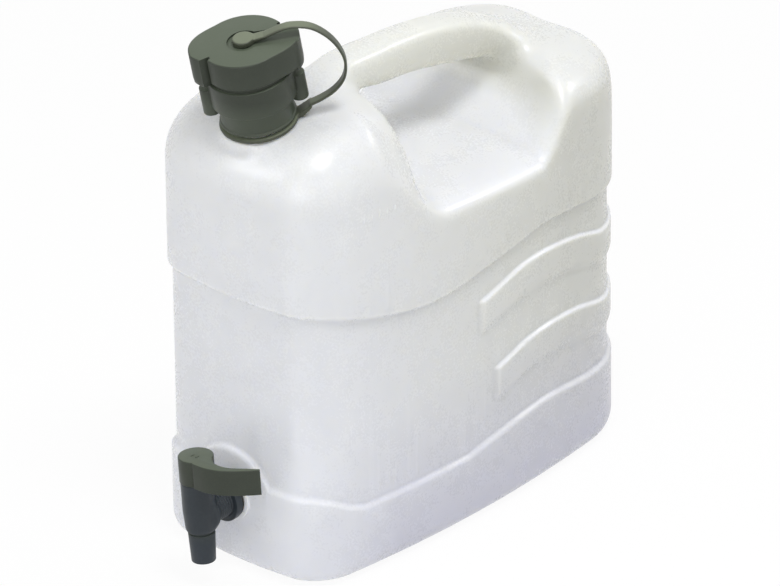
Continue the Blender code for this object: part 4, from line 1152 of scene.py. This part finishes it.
def coloured_plastic(name, dark, light, roughness, low=None, foot=None):
    """Matt plastic: low is the painted shade of the tap's lower end, foot the height below which painted
    bounce light from the can makes it paler.
    """
    f = Finish(name)
    *_, height = f.axes(f.space)
    shape = f.add("ShaderNodeNewGeometry").outputs
    *_, upward = f.axes(shape["Normal"])
    speck = f.noise(1600, 2, 0.6)
    pale, worn, lit = (tuple(v * factor for v in light) for factor in (1.7, 1.9, 4.2))
    layers = []
    if low:
        # painted shade: the spout at the tap's lower end is darker and bluer
        layers.append((f.spread(height, 1, 0, SPOUT_FOOT + 0.014, BARREL_FOOT + 0.010), low))
    if foot:
        # painted bounce light: paler below the foot height, lit by the white can
        layers.append((f.spread(height, 0.9, 0, foot - 0.006, foot + 0.006), pale))
    layers += [(f.spread(speck, 0, 0.25, 0.45, 0.75), pale),
               (f.spread(upward, 0, 0.55, 0.70, 0.97), lit),
               (f.spread(shape["Pointiness"], 0, 0.45, 0.53, 0.62), worn)]
    tone = f.layered(f.mix(f.spread(f.noise(45, 4, 0.55), 0, 1), dark, light), layers)
    rough = f.math("ADD", f.spread(f.noise(90, 4), roughness - 0.05, roughness + 0.06),
                   f.spread(speck, -0.03, 0.03))
    flow = f.bump(f.noise(60, 2), 0.0006, 0.25)
    grain = f.bump(f.noise(1300, 3, 0.6), 0.00005, 0.7, Normal=flow)
    f.set(f.shader, Base_Color=tone, Roughness=rough, Normal=grain, IOR=1.5, Specular_IOR_Level=0.36)
    return f.material


def finish(obj, material):
    obj.data.materials.clear()
    obj.data.materials.append(material)
    return obj


# Stage, lamps and camera

def white_where_seen():
    """A pale surface seen as white, with the object's shadow faintly on it."""
    material = bpy.data.materials.new("floor")
    material.use_nodes = True
    nodes = Nodes(material.node_tree)
    shader = nodes.tree.nodes["Principled BSDF"]
    nodes.set(shader, Base_Color=(0.9, 0.9, 0.9, 1), Roughness=0.9)
    mix = nodes.add("ShaderNodeMixShader")
    nodes.feed(mix, 0, nodes.math("MULTIPLY", nodes.seen(), FLOOR_WHITE))
    nodes.feed(mix, 1, shader.outputs[0])
    nodes.feed(mix, 2, nodes.add("ShaderNodeEmission").outputs[0])
    nodes.set(nodes.tree.nodes["Material Output"], Surface=mix.outputs[0])
    return material


def world():
    """White where it is seen, and a softer even light on the object."""
    space = bpy.data.worlds.new("studio")
    bpy.context.scene.world = space
    space.use_nodes = True
    nodes = Nodes(space.node_tree)
    level = nodes.add("ShaderNodeMapRange", Value=nodes.seen(), To_Min=AMBIENT)
    nodes.set(nodes.tree.nodes["Background"], Color=(1, 1, 1, 1), Strength=level.outputs[0])


def lamp(name, place, aim, size, power):
    light = bpy.data.lights.new(name, "AREA")
    light.shape = "RECTANGLE"
    light.size, light.size_y = size
    light.energy = power
    obj = link(bpy.data.objects.new(name, light))
    obj.location = place
    obj.rotation_euler = (Vector(aim) - Vector(place)).to_track_quat("-Z", "Y").to_euler()


def camera():
    azimuth, elevation, roll = (radians(angle) for angle in (AZIMUTH, ELEVATION, ROLL))
    turn = Matrix.Rotation(azimuth, 4, "Z") @ Matrix.Rotation(pi / 2 - elevation, 4, "X")
    data = bpy.data.cameras.new("camera")
    obj = link(bpy.data.objects.new("camera", data))
    obj.matrix_world = (Matrix.Translation(CAMERA_TARGET) @ turn @ Matrix.Rotation(roll, 4, "Z")
                        @ Matrix.Translation((0, 0, CAMERA_DISTANCE)))
    data.sensor_width = SENSOR_WIDTH
    data.lens = FOCAL_PIXELS * SENSOR_WIDTH / PICTURE[0]
    data.shift_x = (PICTURE[0] / 2 - PICTURE_MIDDLE[0]) / PICTURE[0]
    data.shift_y = (PICTURE_MIDDLE[1] - PICTURE[1] / 2) / PICTURE[0]
    bpy.context.scene.camera = obj


def main():
    bpy.context.scene.view_settings.view_transform = "Standard"
    natural = natural_plastic()
    green = coloured_plastic("grey_green_plastic", *GREEN, 0.44, foot=CAP_BOUNCE_LIGHT_BELOW)
    dark = coloured_plastic("dark_plastic", *CHARCOAL, 0.42)
    olive = coloured_plastic("tether_plastic", *OLIVE, 0.42)
    lever = coloured_plastic("lever_plastic", *GREEN, 0.44, low=SPOUT_PAINTED_SHADE)
    rubber = coloured_plastic("seal_rubber", *BLACK, 0.68)

    shell = finish(can(), natural)
    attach(shell, "can")
    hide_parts("canister")

    band = finish(tether(), olive)
    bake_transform(band)
    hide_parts("tether_ring", "cap_strap", "tether_eyelet")

    for make, node, body, material, slot in (
            (cap, "cap_body", "cap", green, "grey_green_plastic"),
            (barrel, "tap_body", "can", dark, "dark_plastic"),
            (lock_nut, "tap_lock_nut", "can", dark, "dark_plastic"),
            (washer, "tap_gasket", "can", rubber, "sealing_rubber"),
            (plug, "tap_plug", "tap_lever", lever, "grey_green_plastic")):
        piece = finish(make(), material)
        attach(piece, body)
        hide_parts(node)
    finish(frame["nodes"]["cap_gasket"], rubber)

    floor = bmesh.new()
    bmesh.ops.create_grid(floor, x_segments=2, y_segments=2, size=FLOOR_SIZE)
    floor = finish(solid("floor", floor), white_where_seen())
    world()
    for values in LAMPS:
        lamp(*values)
    camera()


main()
